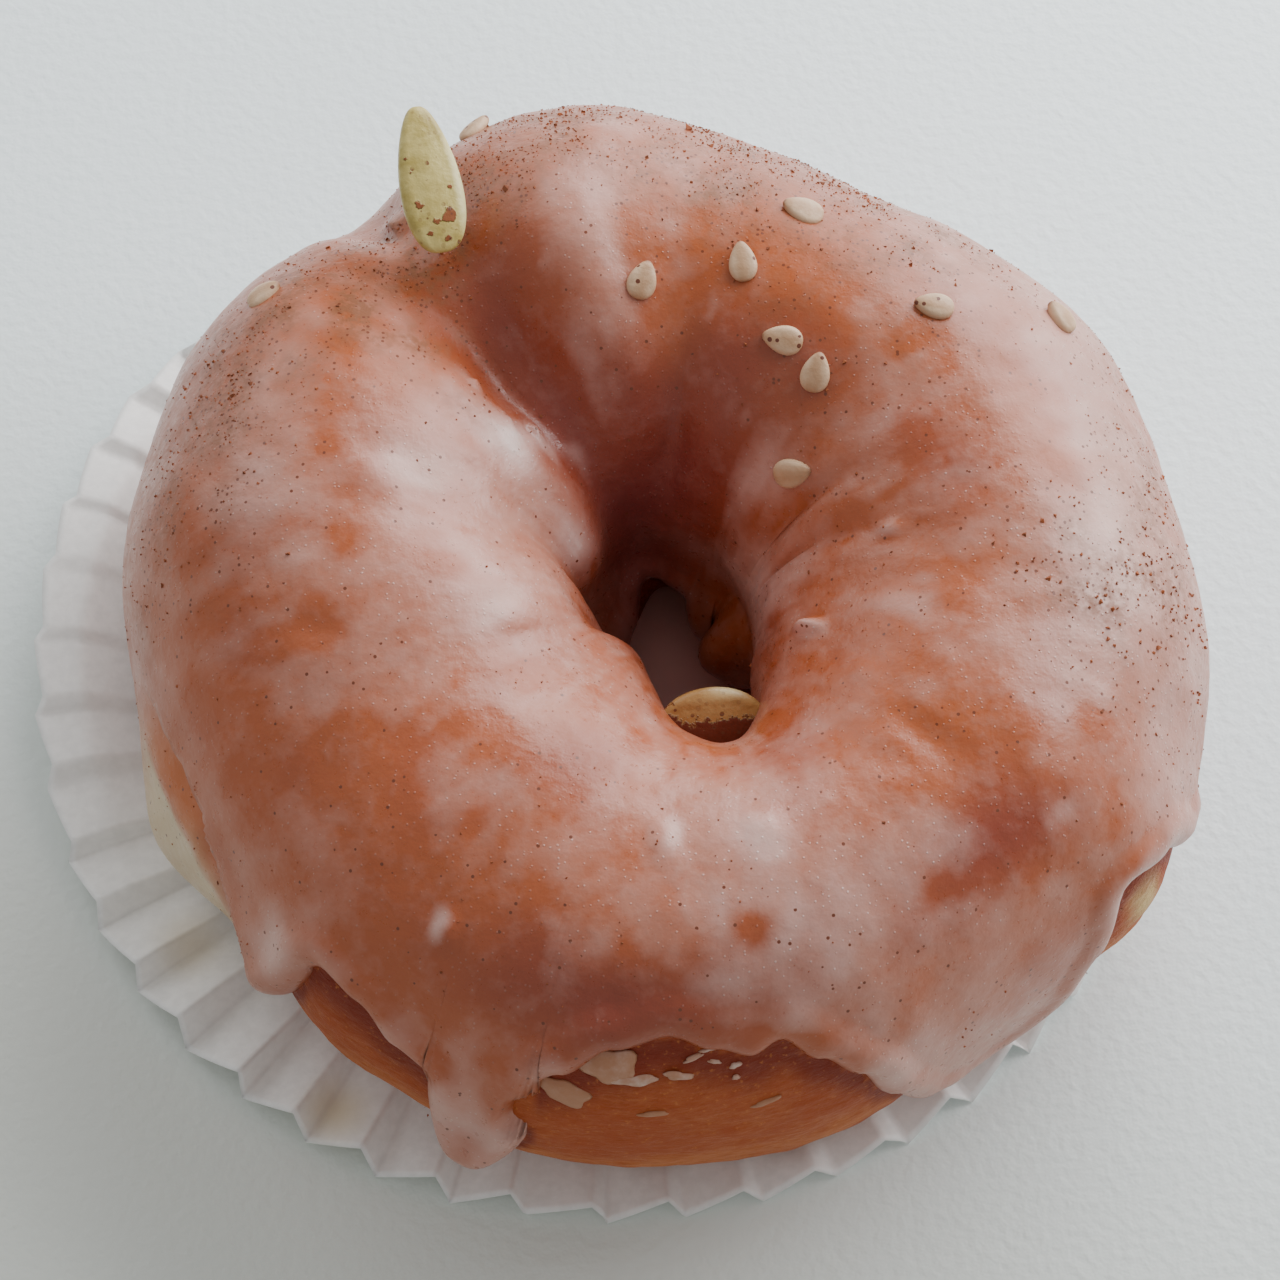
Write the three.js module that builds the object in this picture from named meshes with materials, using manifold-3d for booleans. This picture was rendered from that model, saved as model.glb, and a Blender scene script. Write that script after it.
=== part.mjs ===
// A glazed horchata ring doughnut with pepitas and sesame seeds, lying in its fluted paper case.
// Millimetres, +Z up. The origin is on the axis of the doughnut's hole, at the underside of the
// paper case. -Y is the front and +X the right side.
// "around" is the angle round the ring, in degrees: 0 on the right, 90 at the back.
// "over" is the angle round the rope of dough, in degrees: 0 outermost, 90 on the crown,
// 180 in the hole, 270 or -90 underneath.

import * as THREE from 'three';
import Module from 'manifold-3d';
import { ParametricGeometry } from 'three/addons/geometries/ParametricGeometry.js';
import { mergeVertices } from 'three/addons/utils/BufferGeometryUtils.js';

// Ring of dough
const RING_RADIUS = 28.4;
const ROPE_HALF_WIDTH = 18.6;
const BELLY_HEIGHT = 17.0;
const CROWN_HEIGHT = 37.0;
const FOOT_DROP = 19.5;
const FOOT_HEIGHT = 0.65;
const FOOT_SQUARENESS = 0.22;

// Uneven rising of the ring: [around, half width, millimetres]
const OUTER_SWELLS = [
  [104, 26, 2.4], [216, 40, -2.2], [166, 30, 0.2], [16, 32, -2.2],
  [306, 24, -2.0], [62, 28, -2.6], [147, 20, 1.8], [188, 20, -0.8], [262, 26, 1.2],
  [84, 16, -0.8], [43, 14, -1.1], [330, 14, 1.6], [231, 14, 1.2],
];
const HOLE_SWELLS = [[205, 48, 4.2], [242, 30, 3.4], [292, 44, -5.4], [20, 40, 0.8], [110, 40, -1.0]];
// Narrowing low in the hole: [around, half width, over, half length, millimetres]
const HOLE_FEET = [
  [80, 50, 222, 44, 3.6], [168, 60, 218, 42, 3.4], [120, 36, 222, 38, 6.2], [52, 22, 216, 30, 2.0],
  [158, 40, 226, 34, 4.4], [24, 30, 212, 26, 5.6], [150, 24, 160, 30, 1.8], [204, 26, 160, 32, -2.0],
];
const CROWN_SWELLS = [[105, 22, 1.6], [175, 45, 1.2], [30, 50, 0.6]];

// Creases across the rope: [around, half width, over, half length, depth, lean]
const CREASES = [
  [127.5, 19, 100, 94, 2.6, -0.06],
  [130, 30, 106, 54, 2.2, -0.1],
  [86, 17, 134, 44, 1.2, 0.0],
  [126.5, 8.5, 40, 35, 2.7, 0.0],
  [25, 9, 142, 40, 0.55, 0.12],
  [8, 9, 140, 40, 0.5, 0.1],
];

// Gentle lumps of the dough: [millimetres, waves around, phase, waves over, phase]
const LUMPS = [[0.34, 3, 1.1, 2, 0.4], [0.26, 5, -0.6, 1, 1.9], [0.2, 8, 2.3, 3, -0.7]];

// Glaze
const GAP = 0.3;
const GLAZE_DEPTH = 1.45;
const GLAZE_BEAD = 0.5;
const BEAD_REACH = 1.6;
const BARE_SINK = 3;
const OVER_STEP = 0.33;
const AROUND_STEP = 0.8;
const EDGE_SEARCH = 6;

// Lower edge of the glaze on the outer flank, with its drips and bays: [around, over]
const GLAZE_EDGE = [
  [0, -24], [12, -16], [24, -30], [38, -20], [52, -12], [66, -26], [80, -18], [95, -30],
  [108, -22], [122, -10], [136, -24], [150, -34], [163, -24], [176, -32], [188, -44],
  [214, -44], [219, -20], [224, 4], [231.5, 29], [236, 27], [241, 20.5], [246, 19],
  [250, 21], [255, 28], [259, 35], [264, 44], [270, 48], [275, 43], [279, 39], [282, 42],
  [286, 32], [290, 21], [293, 4], [297, -16], [302, -27], [311, -30], [317, -20],
  [321, 4], [325, 24], [330, 20], [335, 5], [340, -16], [346, -27],
];
// How round a drip's end is: smaller is squarer
const DRIP_ROUNDNESS = 0.2;
// Round drips that hang below that edge: [around, half width, length over the rope in degrees]
const DRIPS = [[222, 7.5, 14], [251.2, 5.8, 37]];
// Lower edge of the glaze inside the hole: [around, over]
const HOLE_EDGE = [
  [0, 218], [30, 224], [52, 229], [68, 222], [82, 206], [104, 202], [122, 212],
  [150, 222], [185, 224], [212, 220], [245, 212], [290, 214], [330, 216],
];

// Raised or thinned places in the glaze: [around, half width, over, half length, millimetres]
const GLAZE_MARKS = [
  [125, 4, 43, 13, 1.3],
  [199, 18, -30, 32, 3.0],
  [222, 9, 6, 18, 1.3], [251.2, 8, -6, 16, 1.4],
  [54, 13, 216, 22, 1.1],
  [170, 26, 208, 20, 1.3],
];
// Slit below the upper lip on the left: lip line as [around, over]
const SLIT_LIP = [[188, 16], [195, 21], [202, 24], [207, 25], [211, 18], [216, 11], [224, 9]];
const SLIT_MIDDLE = 206;
const SLIT_HALF_LENGTH = 17;
const SLIT_LIP_STEP = 3;
const SLIT_WIDTH = 16;
const SLIT_DEPTH = 1.3;

// Sesame seeds: [around, over, turn in degrees, sink in millimetres]
const SESAME = [
  [96, 107, 80, 0.1], [75, 95, 95, 0.1], [69, 73, 160, 0.15], [61, 110, 165, 0.35],
  [50, 113, 75, 0.05], [42, 80, 170, 0.1], [33, 49, 140, 0.1], [37, 136, 20, 0.4],
  [145, 49, 20, 0.3], [111, 33, 60, 0.0],
];
const SESAME_LENGTH = 3.5;
const SESAME_WIDTH = 2.4;
const SESAME_THICKNESS = 1.3;
const SEED_TILT = new THREE.Vector3(0, -0.22, 0.1);

// Pepitas
const STANDING_LENGTH = 12.9;
const STANDING_WIDTH = 5.4;
const STANDING_THICKNESS = 2.5;
const STANDING_FOOT = [-19.2, 26.0, 38.6];
const STANDING_TIP = [-21.8, 38.4, 43.6];
const STANDING_FACE = [0.22, -0.44, 0.87];
const HOLE_PEPITA_LENGTH = 9.4;
const HOLE_PEPITA_WIDTH = 6.2;
const HOLE_PEPITA_THICKNESS = 2.3;
const HOLE_PEPITA_CENTRE = [3.9, -11.3, 23.6];
const HOLE_PEPITA_ALONG = [1, 0.1, 0.0];
const HOLE_PEPITA_FACE = [0.0, -0.62, 0.78];

// Paper case
const PAPER_CENTRE = [-5.2, 4.2];
const PAPER_RADIUS = 53.4;
const PAPER_THICKNESS = 0.38;
const PAPER_FLUTES = 48;
const PAPER_RINGS = [33, 40.5, 47];
const PAPER_LIFT = 2.0;
const PAPER_FLUTE_HEIGHT = 1.3;
const PAPER_CURL = 3.0;
const PAPER_TUCK = 2.4;

const DEG = Math.PI / 180;
const wasm = await Module();
wasm.setup();

// Shared shapes

function turned(angle) {
  return ((((angle + 180) % 360) + 360) % 360) - 180;
}

function hump(offset, half) {
  const t = THREE.MathUtils.clamp(offset / half, -1, 1);
  return Math.cos((t * Math.PI) / 2) ** 2;
}

function sumAround(table, around) {
  return table.reduce((sum, [at, half, mm]) => sum + mm * hump(turned(around - at), half), 0);
}

function valueAround(table, around) {
  const a = ((around % 360) + 360) % 360;
  const first = table[0];
  const rounds = [...table, [first[0] + 360, first[1]]];
  let i = 0;
  while (i < rounds.length - 2 && rounds[i + 1][0] <= a) i += 1;
  const [a0, v0] = rounds[i];
  const [a1, v1] = rounds[i + 1];
  return THREE.MathUtils.lerp(v0, v1, THREE.MathUtils.smoothstep(a, a0, a1));
}

function normalOf(surface, around, over) {
  const step = 0.25;
  const a = surface(around + step, over).sub(surface(around - step, over));
  const b = surface(around, over + step).sub(surface(around, over - step));
  return a.cross(b).normalize();
}

function raised(surface, around, over, mm) {
  return surface(around, over).addScaledVector(normalOf(surface, around, over), mm);
}

// Dough

function rope(around, over) {
  const c = Math.cos(over * DEG);
  const s = Math.sin(over * DEG);
  const across = c * (1 + (s < 0 ? FOOT_SQUARENESS * s * s : 0));
  const outer = (sumAround(OUTER_SWELLS, around) * (1 + c)) / 2;
  const inner = (sumAround(HOLE_SWELLS, around) * (1 - c)) / 2;
  const feet = HOLE_FEET.reduce((sum, [at, half, top, reach, mm]) => (
    sum + mm * hump(turned(around - at), half) * hump(turned(over - top), reach)), 0);
  const r = RING_RADIUS + ROPE_HALF_WIDTH * across + outer - inner - feet;
  const rise = CROWN_HEIGHT - BELLY_HEIGHT + sumAround(CROWN_SWELLS, around);
  const height = BELLY_HEIGHT + (s > 0 ? rise : FOOT_DROP) * s;
  const z = FOOT_HEIGHT + (height + Math.sqrt(height * height + 0.6)) / 2;
  return new THREE.Vector3(r * Math.cos(around * DEG), r * Math.sin(around * DEG), z);
}

function relief(around, over) {
  let mm = 0;
  for (const [size, n, p, m, q] of LUMPS) {
    mm += size * Math.sin(n * around * DEG + p) * Math.sin(m * over * DEG + q);
  }
  for (const [at, half, top, reach, depth, lean] of CREASES) {
    const off = turned(over - top);
    mm -= depth * hump(turned(around - at - lean * off), half) * hump(off, reach);
  }
  return mm * THREE.MathUtils.smoothstep(Math.sin(over * DEG), -0.97, -0.5);
}

function dough(around, over) {
  return raised(rope, around, over, relief(around, over));
}

// Glaze

function edgeOver(around) {
  return DRIPS.reduce((over, [at, half, length]) => (
    over - length * hump(turned(around - at), half) ** DRIP_ROUNDNESS), valueAround(GLAZE_EDGE, around));
}

// Distance in from the nearest edge of the glaze, negative outside it
function insideEdge(around, over) {
  const inner = (valueAround(HOLE_EDGE, around) - over) * OVER_STEP;
  const above = (over - edgeOver(around)) * OVER_STEP;
  if (above <= 0) return Math.min(above, inner);
  let outer = above;
  for (let shift = -EDGE_SEARCH; shift <= EDGE_SEARCH; shift += 1) {
    const up = Math.max(over - edgeOver(around + shift), 0) * OVER_STEP;
    outer = Math.min(outer, Math.hypot(up, shift * AROUND_STEP));
  }
  return Math.min(outer, inner);
}

function glazeDepth(around, over) {
  const inside = insideEdge(around, over);
  if (inside <= 0) return Math.max(-BARE_SINK, inside);
  let mm = GLAZE_DEPTH + GLAZE_BEAD * hump(inside - 2.2, 2.2);
  for (const [at, half, top, reach, extra] of GLAZE_MARKS) {
    mm += extra * hump(turned(around - at), half) * hump(turned(over - top), reach);
  }
  const below = valueAround(SLIT_LIP, around) - over;
  const window = hump(turned(around - SLIT_MIDDLE), SLIT_HALF_LENGTH) ** 0.5;
  const step = THREE.MathUtils.smoothstep(below, 0, SLIT_LIP_STEP);
  mm -= SLIT_DEPTH * window * step * (1 - THREE.MathUtils.smoothstep(below, SLIT_LIP_STEP, SLIT_WIDTH));
  const t = Math.min(inside / BEAD_REACH, 1);
  return mm * Math.sqrt(t * (2 - t));
}

function glaze(around, over) {
  return raised(dough, around, over, glazeDepth(around, over));
}

// Solids

function ringGeometry(surface, slices, overAt) {
  const rows = overAt.length - 1;
  const place = (u, v, target) => {
    const row = Math.min(Math.round(v * rows), rows);
    target.copy(surface(u * 360, overAt[row]));
  };
  return new ParametricGeometry(place, slices, rows);
}

function rowsOver(...spans) {
  const rows = [spans[0][0]];
  for (const [from, to, count] of spans) {
    for (let i = 1; i <= count; i += 1) rows.push(from + ((to - from) * i) / count);
  }
  return rows;
}

function solidOf(geometry) {
  const bare = geometry.clone();
  bare.deleteAttribute('normal');
  bare.deleteAttribute('uv');
  const merged = mergeVertices(bare, 1e-4);
  const triVerts = new Uint32Array(merged.index.array);
  const vertProperties = new Float32Array(merged.attributes.position.array);
  return new wasm.Manifold(new wasm.Mesh({ numProp: 3, vertProperties, triVerts }));
}

function geometryOf(solid) {
  const mesh = solid.getMesh();
  const geometry = new THREE.BufferGeometry();
  geometry.setAttribute('position', new THREE.BufferAttribute(mesh.vertProperties.slice(), 3));
  geometry.setIndex(new THREE.BufferAttribute(mesh.triVerts.slice(), 1));
  return geometry;
}

function largestBody(solid) {
  const bodies = solid.decompose();
  return bodies.reduce((best, body) => (body.volume() > best.volume() ? body : best));
}

function placed(geometry, centre, along, face) {
  const x = along.clone().normalize();
  const z = face.clone().addScaledVector(x, -face.dot(x)).normalize();
  const y = new THREE.Vector3().crossVectors(z, x);
  const frame = new THREE.Matrix4().makeBasis(x, y, z).setPosition(centre);
  return geometry.clone().applyMatrix4(frame);
}

// Flat drop-shaped seed, pointed towards +X, lying in the XY plane. A fullness below 0 makes its
// ends blunter than an oval's.
function seedGeometry(length, width, thickness, slices, stacks, point, fullness) {
  const geometry = new THREE.SphereGeometry(1, slices, stacks);
  geometry.rotateZ(Math.PI / 2);
  const at = geometry.attributes.position;
  for (let i = 0; i < at.count; i += 1) {
    const x = at.getX(i);
    const full = Math.max(1 - x * x, 1e-9) ** (fullness / 2);
    const narrow = (1 - point * x - point * 0.5 * x * x) * full;
    at.setXYZ(i, (x * length) / 2, (at.getY(i) * narrow * width) / 2, (at.getZ(i) * thickness) / 2);
  }
  return geometry;
}

function sesameSeeds() {
  return SESAME.map(([around, over, turn, sink]) => {
    const face = normalOf(glaze, around, over);
    const lift = SESAME_THICKNESS / 2 - sink - 0.25;
    const centre = glaze(around, over).addScaledVector(face, lift);
    face.add(SEED_TILT).normalize();
    const along = new THREE.Vector3(Math.cos(turn * DEG), Math.sin(turn * DEG), 0);
    along.addScaledVector(face, -along.dot(face));
    const seed = seedGeometry(SESAME_LENGTH, SESAME_WIDTH, SESAME_THICKNESS, 6, 4, 0.22, 0);
    return solidOf(placed(seed, centre, along, face));
  });
}

function standingPepita(grow) {
  const foot = new THREE.Vector3(...STANDING_FOOT);
  const tip = new THREE.Vector3(...STANDING_TIP);
  const centre = foot.clone().add(tip).multiplyScalar(0.5);
  const seed = seedGeometry(STANDING_LENGTH + grow * 2, STANDING_WIDTH + grow * 2,
    STANDING_THICKNESS + grow * 2, 14, 8, 0.22, -0.28);
  return placed(seed, centre, tip.sub(foot), new THREE.Vector3(...STANDING_FACE));
}

function holePepita(grow) {
  const centre = new THREE.Vector3(...HOLE_PEPITA_CENTRE);
  const along = new THREE.Vector3(...HOLE_PEPITA_ALONG);
  const seed = seedGeometry(HOLE_PEPITA_LENGTH + grow * 2, HOLE_PEPITA_WIDTH + grow * 2,
    HOLE_PEPITA_THICKNESS + grow * 2, 14, 8, 0.0, 0.05);
  return placed(seed, centre, along, new THREE.Vector3(...HOLE_PEPITA_FACE));
}

// Closed slab from an open sheet: the sheet again a thickness lower and turned over, and a wall
// along its rim, which is every last vertex of the sheet's rows
function slabOf(sheet, rows, thickness) {
  const top = sheet.attributes.position.array;
  const count = top.length / 3;
  const corners = new Float32Array([...top, ...top]);
  for (let i = 0; i < count; i += 1) corners[i * 3 + 2] += thickness;
  const faces = [];
  const index = sheet.index.array;
  for (let i = 0; i < index.length; i += 3) {
    const [a, b, c] = [index[i], index[i + 1], index[i + 2]];
    faces.push(a, c, b, count + a, count + b, count + c);
  }
  for (let a = rows - 1; a + rows < count; a += rows) {
    const b = a + rows;
    faces.push(a, count + b, b, a, count + a, count + b);
  }
  const slab = new THREE.BufferGeometry();
  slab.setAttribute('position', new THREE.BufferAttribute(corners, 3));
  slab.setIndex(faces);
  return slab;
}

// How high the paper stands at a point: flat under the doughnut, then rising in flutes outside
// the dough's foot, and curling up at the back left
function paperLift(x, y, own) {
  const column = Math.round((((own + 360) % 360) * PAPER_FLUTES * 2) / 360);
  const foot = rope(Math.atan2(y, x) / DEG, -64);
  const free = (Math.hypot(x, y) - Math.hypot(foot.x, foot.y) - 2.2) / 12;
  const open = THREE.MathUtils.clamp(free, 0, 1.2);
  const curl = PAPER_CURL * open * open * hump(turned(own - 170), 38);
  const flute = column % 2 === 0 ? 1 : -1;
  return open * (PAPER_LIFT + flute * PAPER_FLUTE_HEIGHT) + curl;
}

function paperGeometry() {
  const profile = [0, ...PAPER_RINGS, PAPER_RADIUS].map((r) => new THREE.Vector2(r, 0));
  const sheet = new THREE.LatheGeometry(profile, PAPER_FLUTES * 2);
  sheet.rotateX(Math.PI / 2);
  const at = sheet.attributes.position;
  for (let i = 0; i < at.count; i += 1) {
    const own = Math.atan2(at.getY(i), at.getX(i)) / DEG;
    const tuck = 1 - (PAPER_TUCK / PAPER_RADIUS) * hump(turned(own - 112), 40);
    const x = at.getX(i) * tuck + PAPER_CENTRE[0];
    const y = at.getY(i) * tuck + PAPER_CENTRE[1];
    at.setXYZ(i, x, y, paperLift(x, y, own));
  }
  return slabOf(sheet, profile.length, PAPER_THICKNESS);
}

// Materials and parts

const doughMaterial = new THREE.MeshStandardMaterial({ color: 0xb8713f, roughness: 0.75, metalness: 0 });
const glazeMaterial = new THREE.MeshStandardMaterial({ color: 0xc9a496, roughness: 0.3, metalness: 0 });
const pepitaMaterial = new THREE.MeshStandardMaterial({ color: 0xb5a862, roughness: 0.6, metalness: 0 });
const paperMaterial = new THREE.MeshStandardMaterial({ color: 0xe4e4e2, roughness: 0.85, metalness: 0 });

function meshOf(name, geometry, material) {
  const mesh = new THREE.Mesh(geometry, material);
  mesh.name = name;
  return mesh;
}

const doughRows = rowsOver([-90, 270, 25]);
const glazeRows = rowsOver([-90, -50, 1], [-50, 49, 14], [49, 230, 13], [230, 270, 1]);

const pockets = solidOf(standingPepita(GAP)).add(solidOf(holePepita(GAP)));
const doughRing = solidOf(ringGeometry(dough, 72, doughRows));
const clearRing = solidOf(ringGeometry((a, b) => raised(dough, a, b, GAP), 72, doughRows));
const glazeRing = solidOf(ringGeometry(glaze, 76, glazeRows));

const glazeSkin = sesameSeeds().reduce((sum, seed) => sum.add(seed), glazeRing)
  .subtract(clearRing)
  .subtract(pockets);

const doughnut = new THREE.Group();
doughnut.add(meshOf('dough', geometryOf(largestBody(doughRing.subtract(pockets))), doughMaterial));
doughnut.add(meshOf('glaze', geometryOf(largestBody(glazeSkin)), glazeMaterial));
doughnut.add(meshOf('pepita_standing', geometryOf(solidOf(standingPepita(0))), pepitaMaterial));
doughnut.add(meshOf('pepita_hole', geometryOf(solidOf(holePepita(0))), pepitaMaterial));
doughnut.add(meshOf('paper_case', geometryOf(solidOf(paperGeometry())), paperMaterial));

export default doughnut;
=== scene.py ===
"""Looks of a glazed horchata ring doughnut with pepitas and sesame seeds in its paper case.

Run as a script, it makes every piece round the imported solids, then the stage and the camera.
The form functions work in millimetres on whole arrays. Their two angles are in degrees:
"around" runs round the ring, 0 on the right and 90 at the back; "over" runs round the rope of
dough, 0 outermost, 90 on the crown, 180 in the hole, 270 or -90 underneath.
"""

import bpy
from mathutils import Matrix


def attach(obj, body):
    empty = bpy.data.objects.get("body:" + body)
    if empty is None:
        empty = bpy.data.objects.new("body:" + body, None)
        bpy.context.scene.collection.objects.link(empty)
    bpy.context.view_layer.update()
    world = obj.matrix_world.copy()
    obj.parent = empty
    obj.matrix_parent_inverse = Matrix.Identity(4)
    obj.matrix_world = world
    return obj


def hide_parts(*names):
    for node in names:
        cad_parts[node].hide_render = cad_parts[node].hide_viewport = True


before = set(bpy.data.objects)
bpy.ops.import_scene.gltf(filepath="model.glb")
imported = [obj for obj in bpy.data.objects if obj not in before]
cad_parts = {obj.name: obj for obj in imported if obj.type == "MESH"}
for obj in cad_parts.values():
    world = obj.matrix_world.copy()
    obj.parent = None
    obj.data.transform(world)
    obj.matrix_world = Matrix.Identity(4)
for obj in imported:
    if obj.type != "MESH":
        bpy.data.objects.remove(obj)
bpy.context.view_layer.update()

import math

import bpy
import numpy as np
from bpy.props import FloatProperty, FloatVectorProperty, IntProperty, PointerProperty
from mathutils import Vector

bl_info = {
    "name": "Glazed ring doughnut",
    "version": (1, 0, 0),
    "blender": (4, 5, 0),
    "location": "3D View > Sidebar > Doughnut",
    "description": "Builds a glazed ring doughnut with its seeds and paper case",
    "category": "Add Mesh",
}

MM = 0.001

# Corners of the meshes: round the ring and over the rope, and those of the seeds
DOUGH_COLUMNS, DOUGH_ROWS = 420, 190
GLAZE_COLUMNS, GLAZE_ROWS, GLAZE_HIDDEN_ROWS = 640, 176, 12
PEPITA_COLUMNS, PEPITA_ROWS = 72, 48
SESAME_COLUMNS, SESAME_ROWS = 40, 24
FLAKE_COLUMNS, FLAKE_ROWS = 28, 7

# Ring of dough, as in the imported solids
RING_RADIUS = 28.4
ROPE_HALF_WIDTH = 18.6
BELLY_HEIGHT = 17.0
CROWN_HEIGHT = 37.0
FOOT_DROP = 19.5
FOOT_HEIGHT = 0.65
FOOT_SQUARENESS = 0.22

# Uneven rising of the ring: around, half width, millimetres
OUTER_SWELLS = [
    (104, 26, 2.4), (216, 40, -2.2), (166, 30, 0.2), (16, 32, -2.2), (306, 24, -2.0),
    (62, 28, -2.6), (147, 20, 1.8), (188, 20, -0.8), (262, 26, 1.2), (84, 16, -0.8), (43, 14, -1.1),
    (330, 14, 1.6), (231, 14, 1.2),
]
HOLE_SWELLS = [(205, 48, 4.2), (242, 30, 3.4), (292, 44, -5.4), (20, 40, 0.8), (110, 40, -1.0)]
# Narrowing low in the hole: around, half width, over, half length, millimetres
HOLE_FEET = [
    (80, 50, 222, 44, 3.6), (168, 60, 218, 42, 3.4), (120, 36, 222, 38, 6.2),
    (52, 22, 216, 30, 2.0), (158, 40, 226, 34, 4.4), (24, 30, 212, 26, 5.6),
    (150, 24, 160, 30, 1.8), (204, 26, 160, 32, -2.0),
]
CROWN_SWELLS = [(105, 22, 1.6), (175, 45, 1.2), (30, 50, 0.6)]
# Creases across the rope: around, half width, over, half length, depth, lean
CREASES = [
    (127.5, 19, 100, 94, 2.6, -0.06),
    (130, 30, 106, 54, 2.2, -0.1),
    (86, 17, 134, 44, 1.2, 0.0),
    (126.5, 8.5, 40, 35, 2.7, 0.0),
    (25, 9, 142, 40, 0.55, 0.12),
    (8, 9, 140, 40, 0.5, 0.1),
]
# Gentle lumps of the dough: millimetres, waves around, phase, waves over, phase
LUMPS = [(0.34, 3, 1.1, 2, 0.4), (0.26, 5, -0.6, 1, 1.9), (0.2, 8, 2.3, 3, -0.7)]

# Lower edge of the glaze on the outer flank: around, over
GLAZE_EDGE = [
    (0, -24), (12, -16), (24, -30), (38, -20), (52, -12), (66, -26), (80, -18), (95, -30),
    (108, -22), (122, -10), (136, -24), (150, -34), (163, -24), (176, -32), (188, -44),
    (214, -44), (219, -20), (224, 4), (231.5, 29), (236, 27), (241, 20.5), (246, 19),
    (250, 21), (255, 28), (259, 35), (264, 44), (270, 48), (275, 43), (279, 39), (282, 42),
    (286, 32), (290, 21), (293, 4), (297, -16), (302, -27), (311, -30), (317, -20),
    (321, 4), (325, 24), (330, 20), (335, 5), (340, -16), (346, -27),
]
# How round a drip's end is, and the drips: around, half width, length over the rope in degrees
DRIP_ROUNDNESS = 0.2
DRIPS = [(222, 7.5, 14), (251.2, 5.8, 37)]
# Lower edge of the glaze inside the hole: around, over
HOLE_EDGE = [
    (0, 218), (30, 224), (52, 229), (68, 222), (82, 206), (104, 202), (122, 212),
    (150, 222), (185, 224), (212, 220), (245, 212), (290, 214), (330, 216),
]
# Raised places in the glaze: around, half width, over, half length, millimetres
GLAZE_MARKS = [
    (125, 4, 43, 13, 1.3), (199, 18, -30, 32, 3.0), (222, 9, 6, 18, 1.3), (251.2, 8, -6, 16, 1.4),
    (54, 13, 216, 22, 1.1), (170, 26, 208, 20, 1.3),
]
# How far in from its edge the glaze is rounded, has the middle of its bead, and has its full skin
EDGE_ROUNDING, BEAD_MIDDLE, SKIN_START = 1.6, 2.2, 2.5
# Places of single forms: around, half width, over, half length
THIN_PLACE = (275, 19, 44, 30)
WRINKLE_PLACE = (14, 30, 152, 40)
CRUMPLE_PLACE = (138, 8, 127, 15)
TORN_CRUST_PLACE = (327.5, 3.6, 5, 15)
# Depth of the glaze's hidden side below the dough, and the columns searched for its edges
GLAZE_SINK = 0.7
EDGE_REACH, HOLE_EDGE_REACH = 40, 24

# Slit below the upper lip on the left: lip line as around, over
SLIT_LIP = [(188, 16), (195, 21), (202, 24), (207, 25), (211, 18), (216, 11), (224, 9)]
SLIT_MIDDLE = 206
SLIT_HALF_LENGTH = 17
SLIT_STEP = 2.6
SLIT_WIDTH = 16.0
SLIT_DEPTH = 1.3
# Bare crust in the slit, and creamy glaze below it: middle, half length, two steps below the lip
BARE_SLIT = (201, 14, 17, 24)
APRON = (204, 20, 6, 18)

# Bare notch beside the neck of the front drip: around, half width, over, half length, millimetres
BARE_PLACES = [(256.4, 3.6, 19.5, 9, 4.5)]

# Small forms of the glaze's skin: around, half width, over, half length, millimetres
SKIN_MARKS = [
    (334.5, 3.6, 139, 7, 1.0), (243, 2.6, 56, 6, 0.45), (132, 10, 118, 26, -1.15),
    (138.6, 1.5, 112, 4, 0.6), (134, 2.4, 133, 4, 0.6), (105, 7, 100, 30, 0.35),
    (3, 4, 117, 5, 0.35), (269, 4, 97, 9, 0.3), (286, 5, 100, 9, 0.3), (170, 8, 98, 12, 0.35),
    (208, 7, 120, 9, 0.25), (318, 5, 92, 16, -0.3), (198, 5, 78, 9, -0.3),
]

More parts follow.
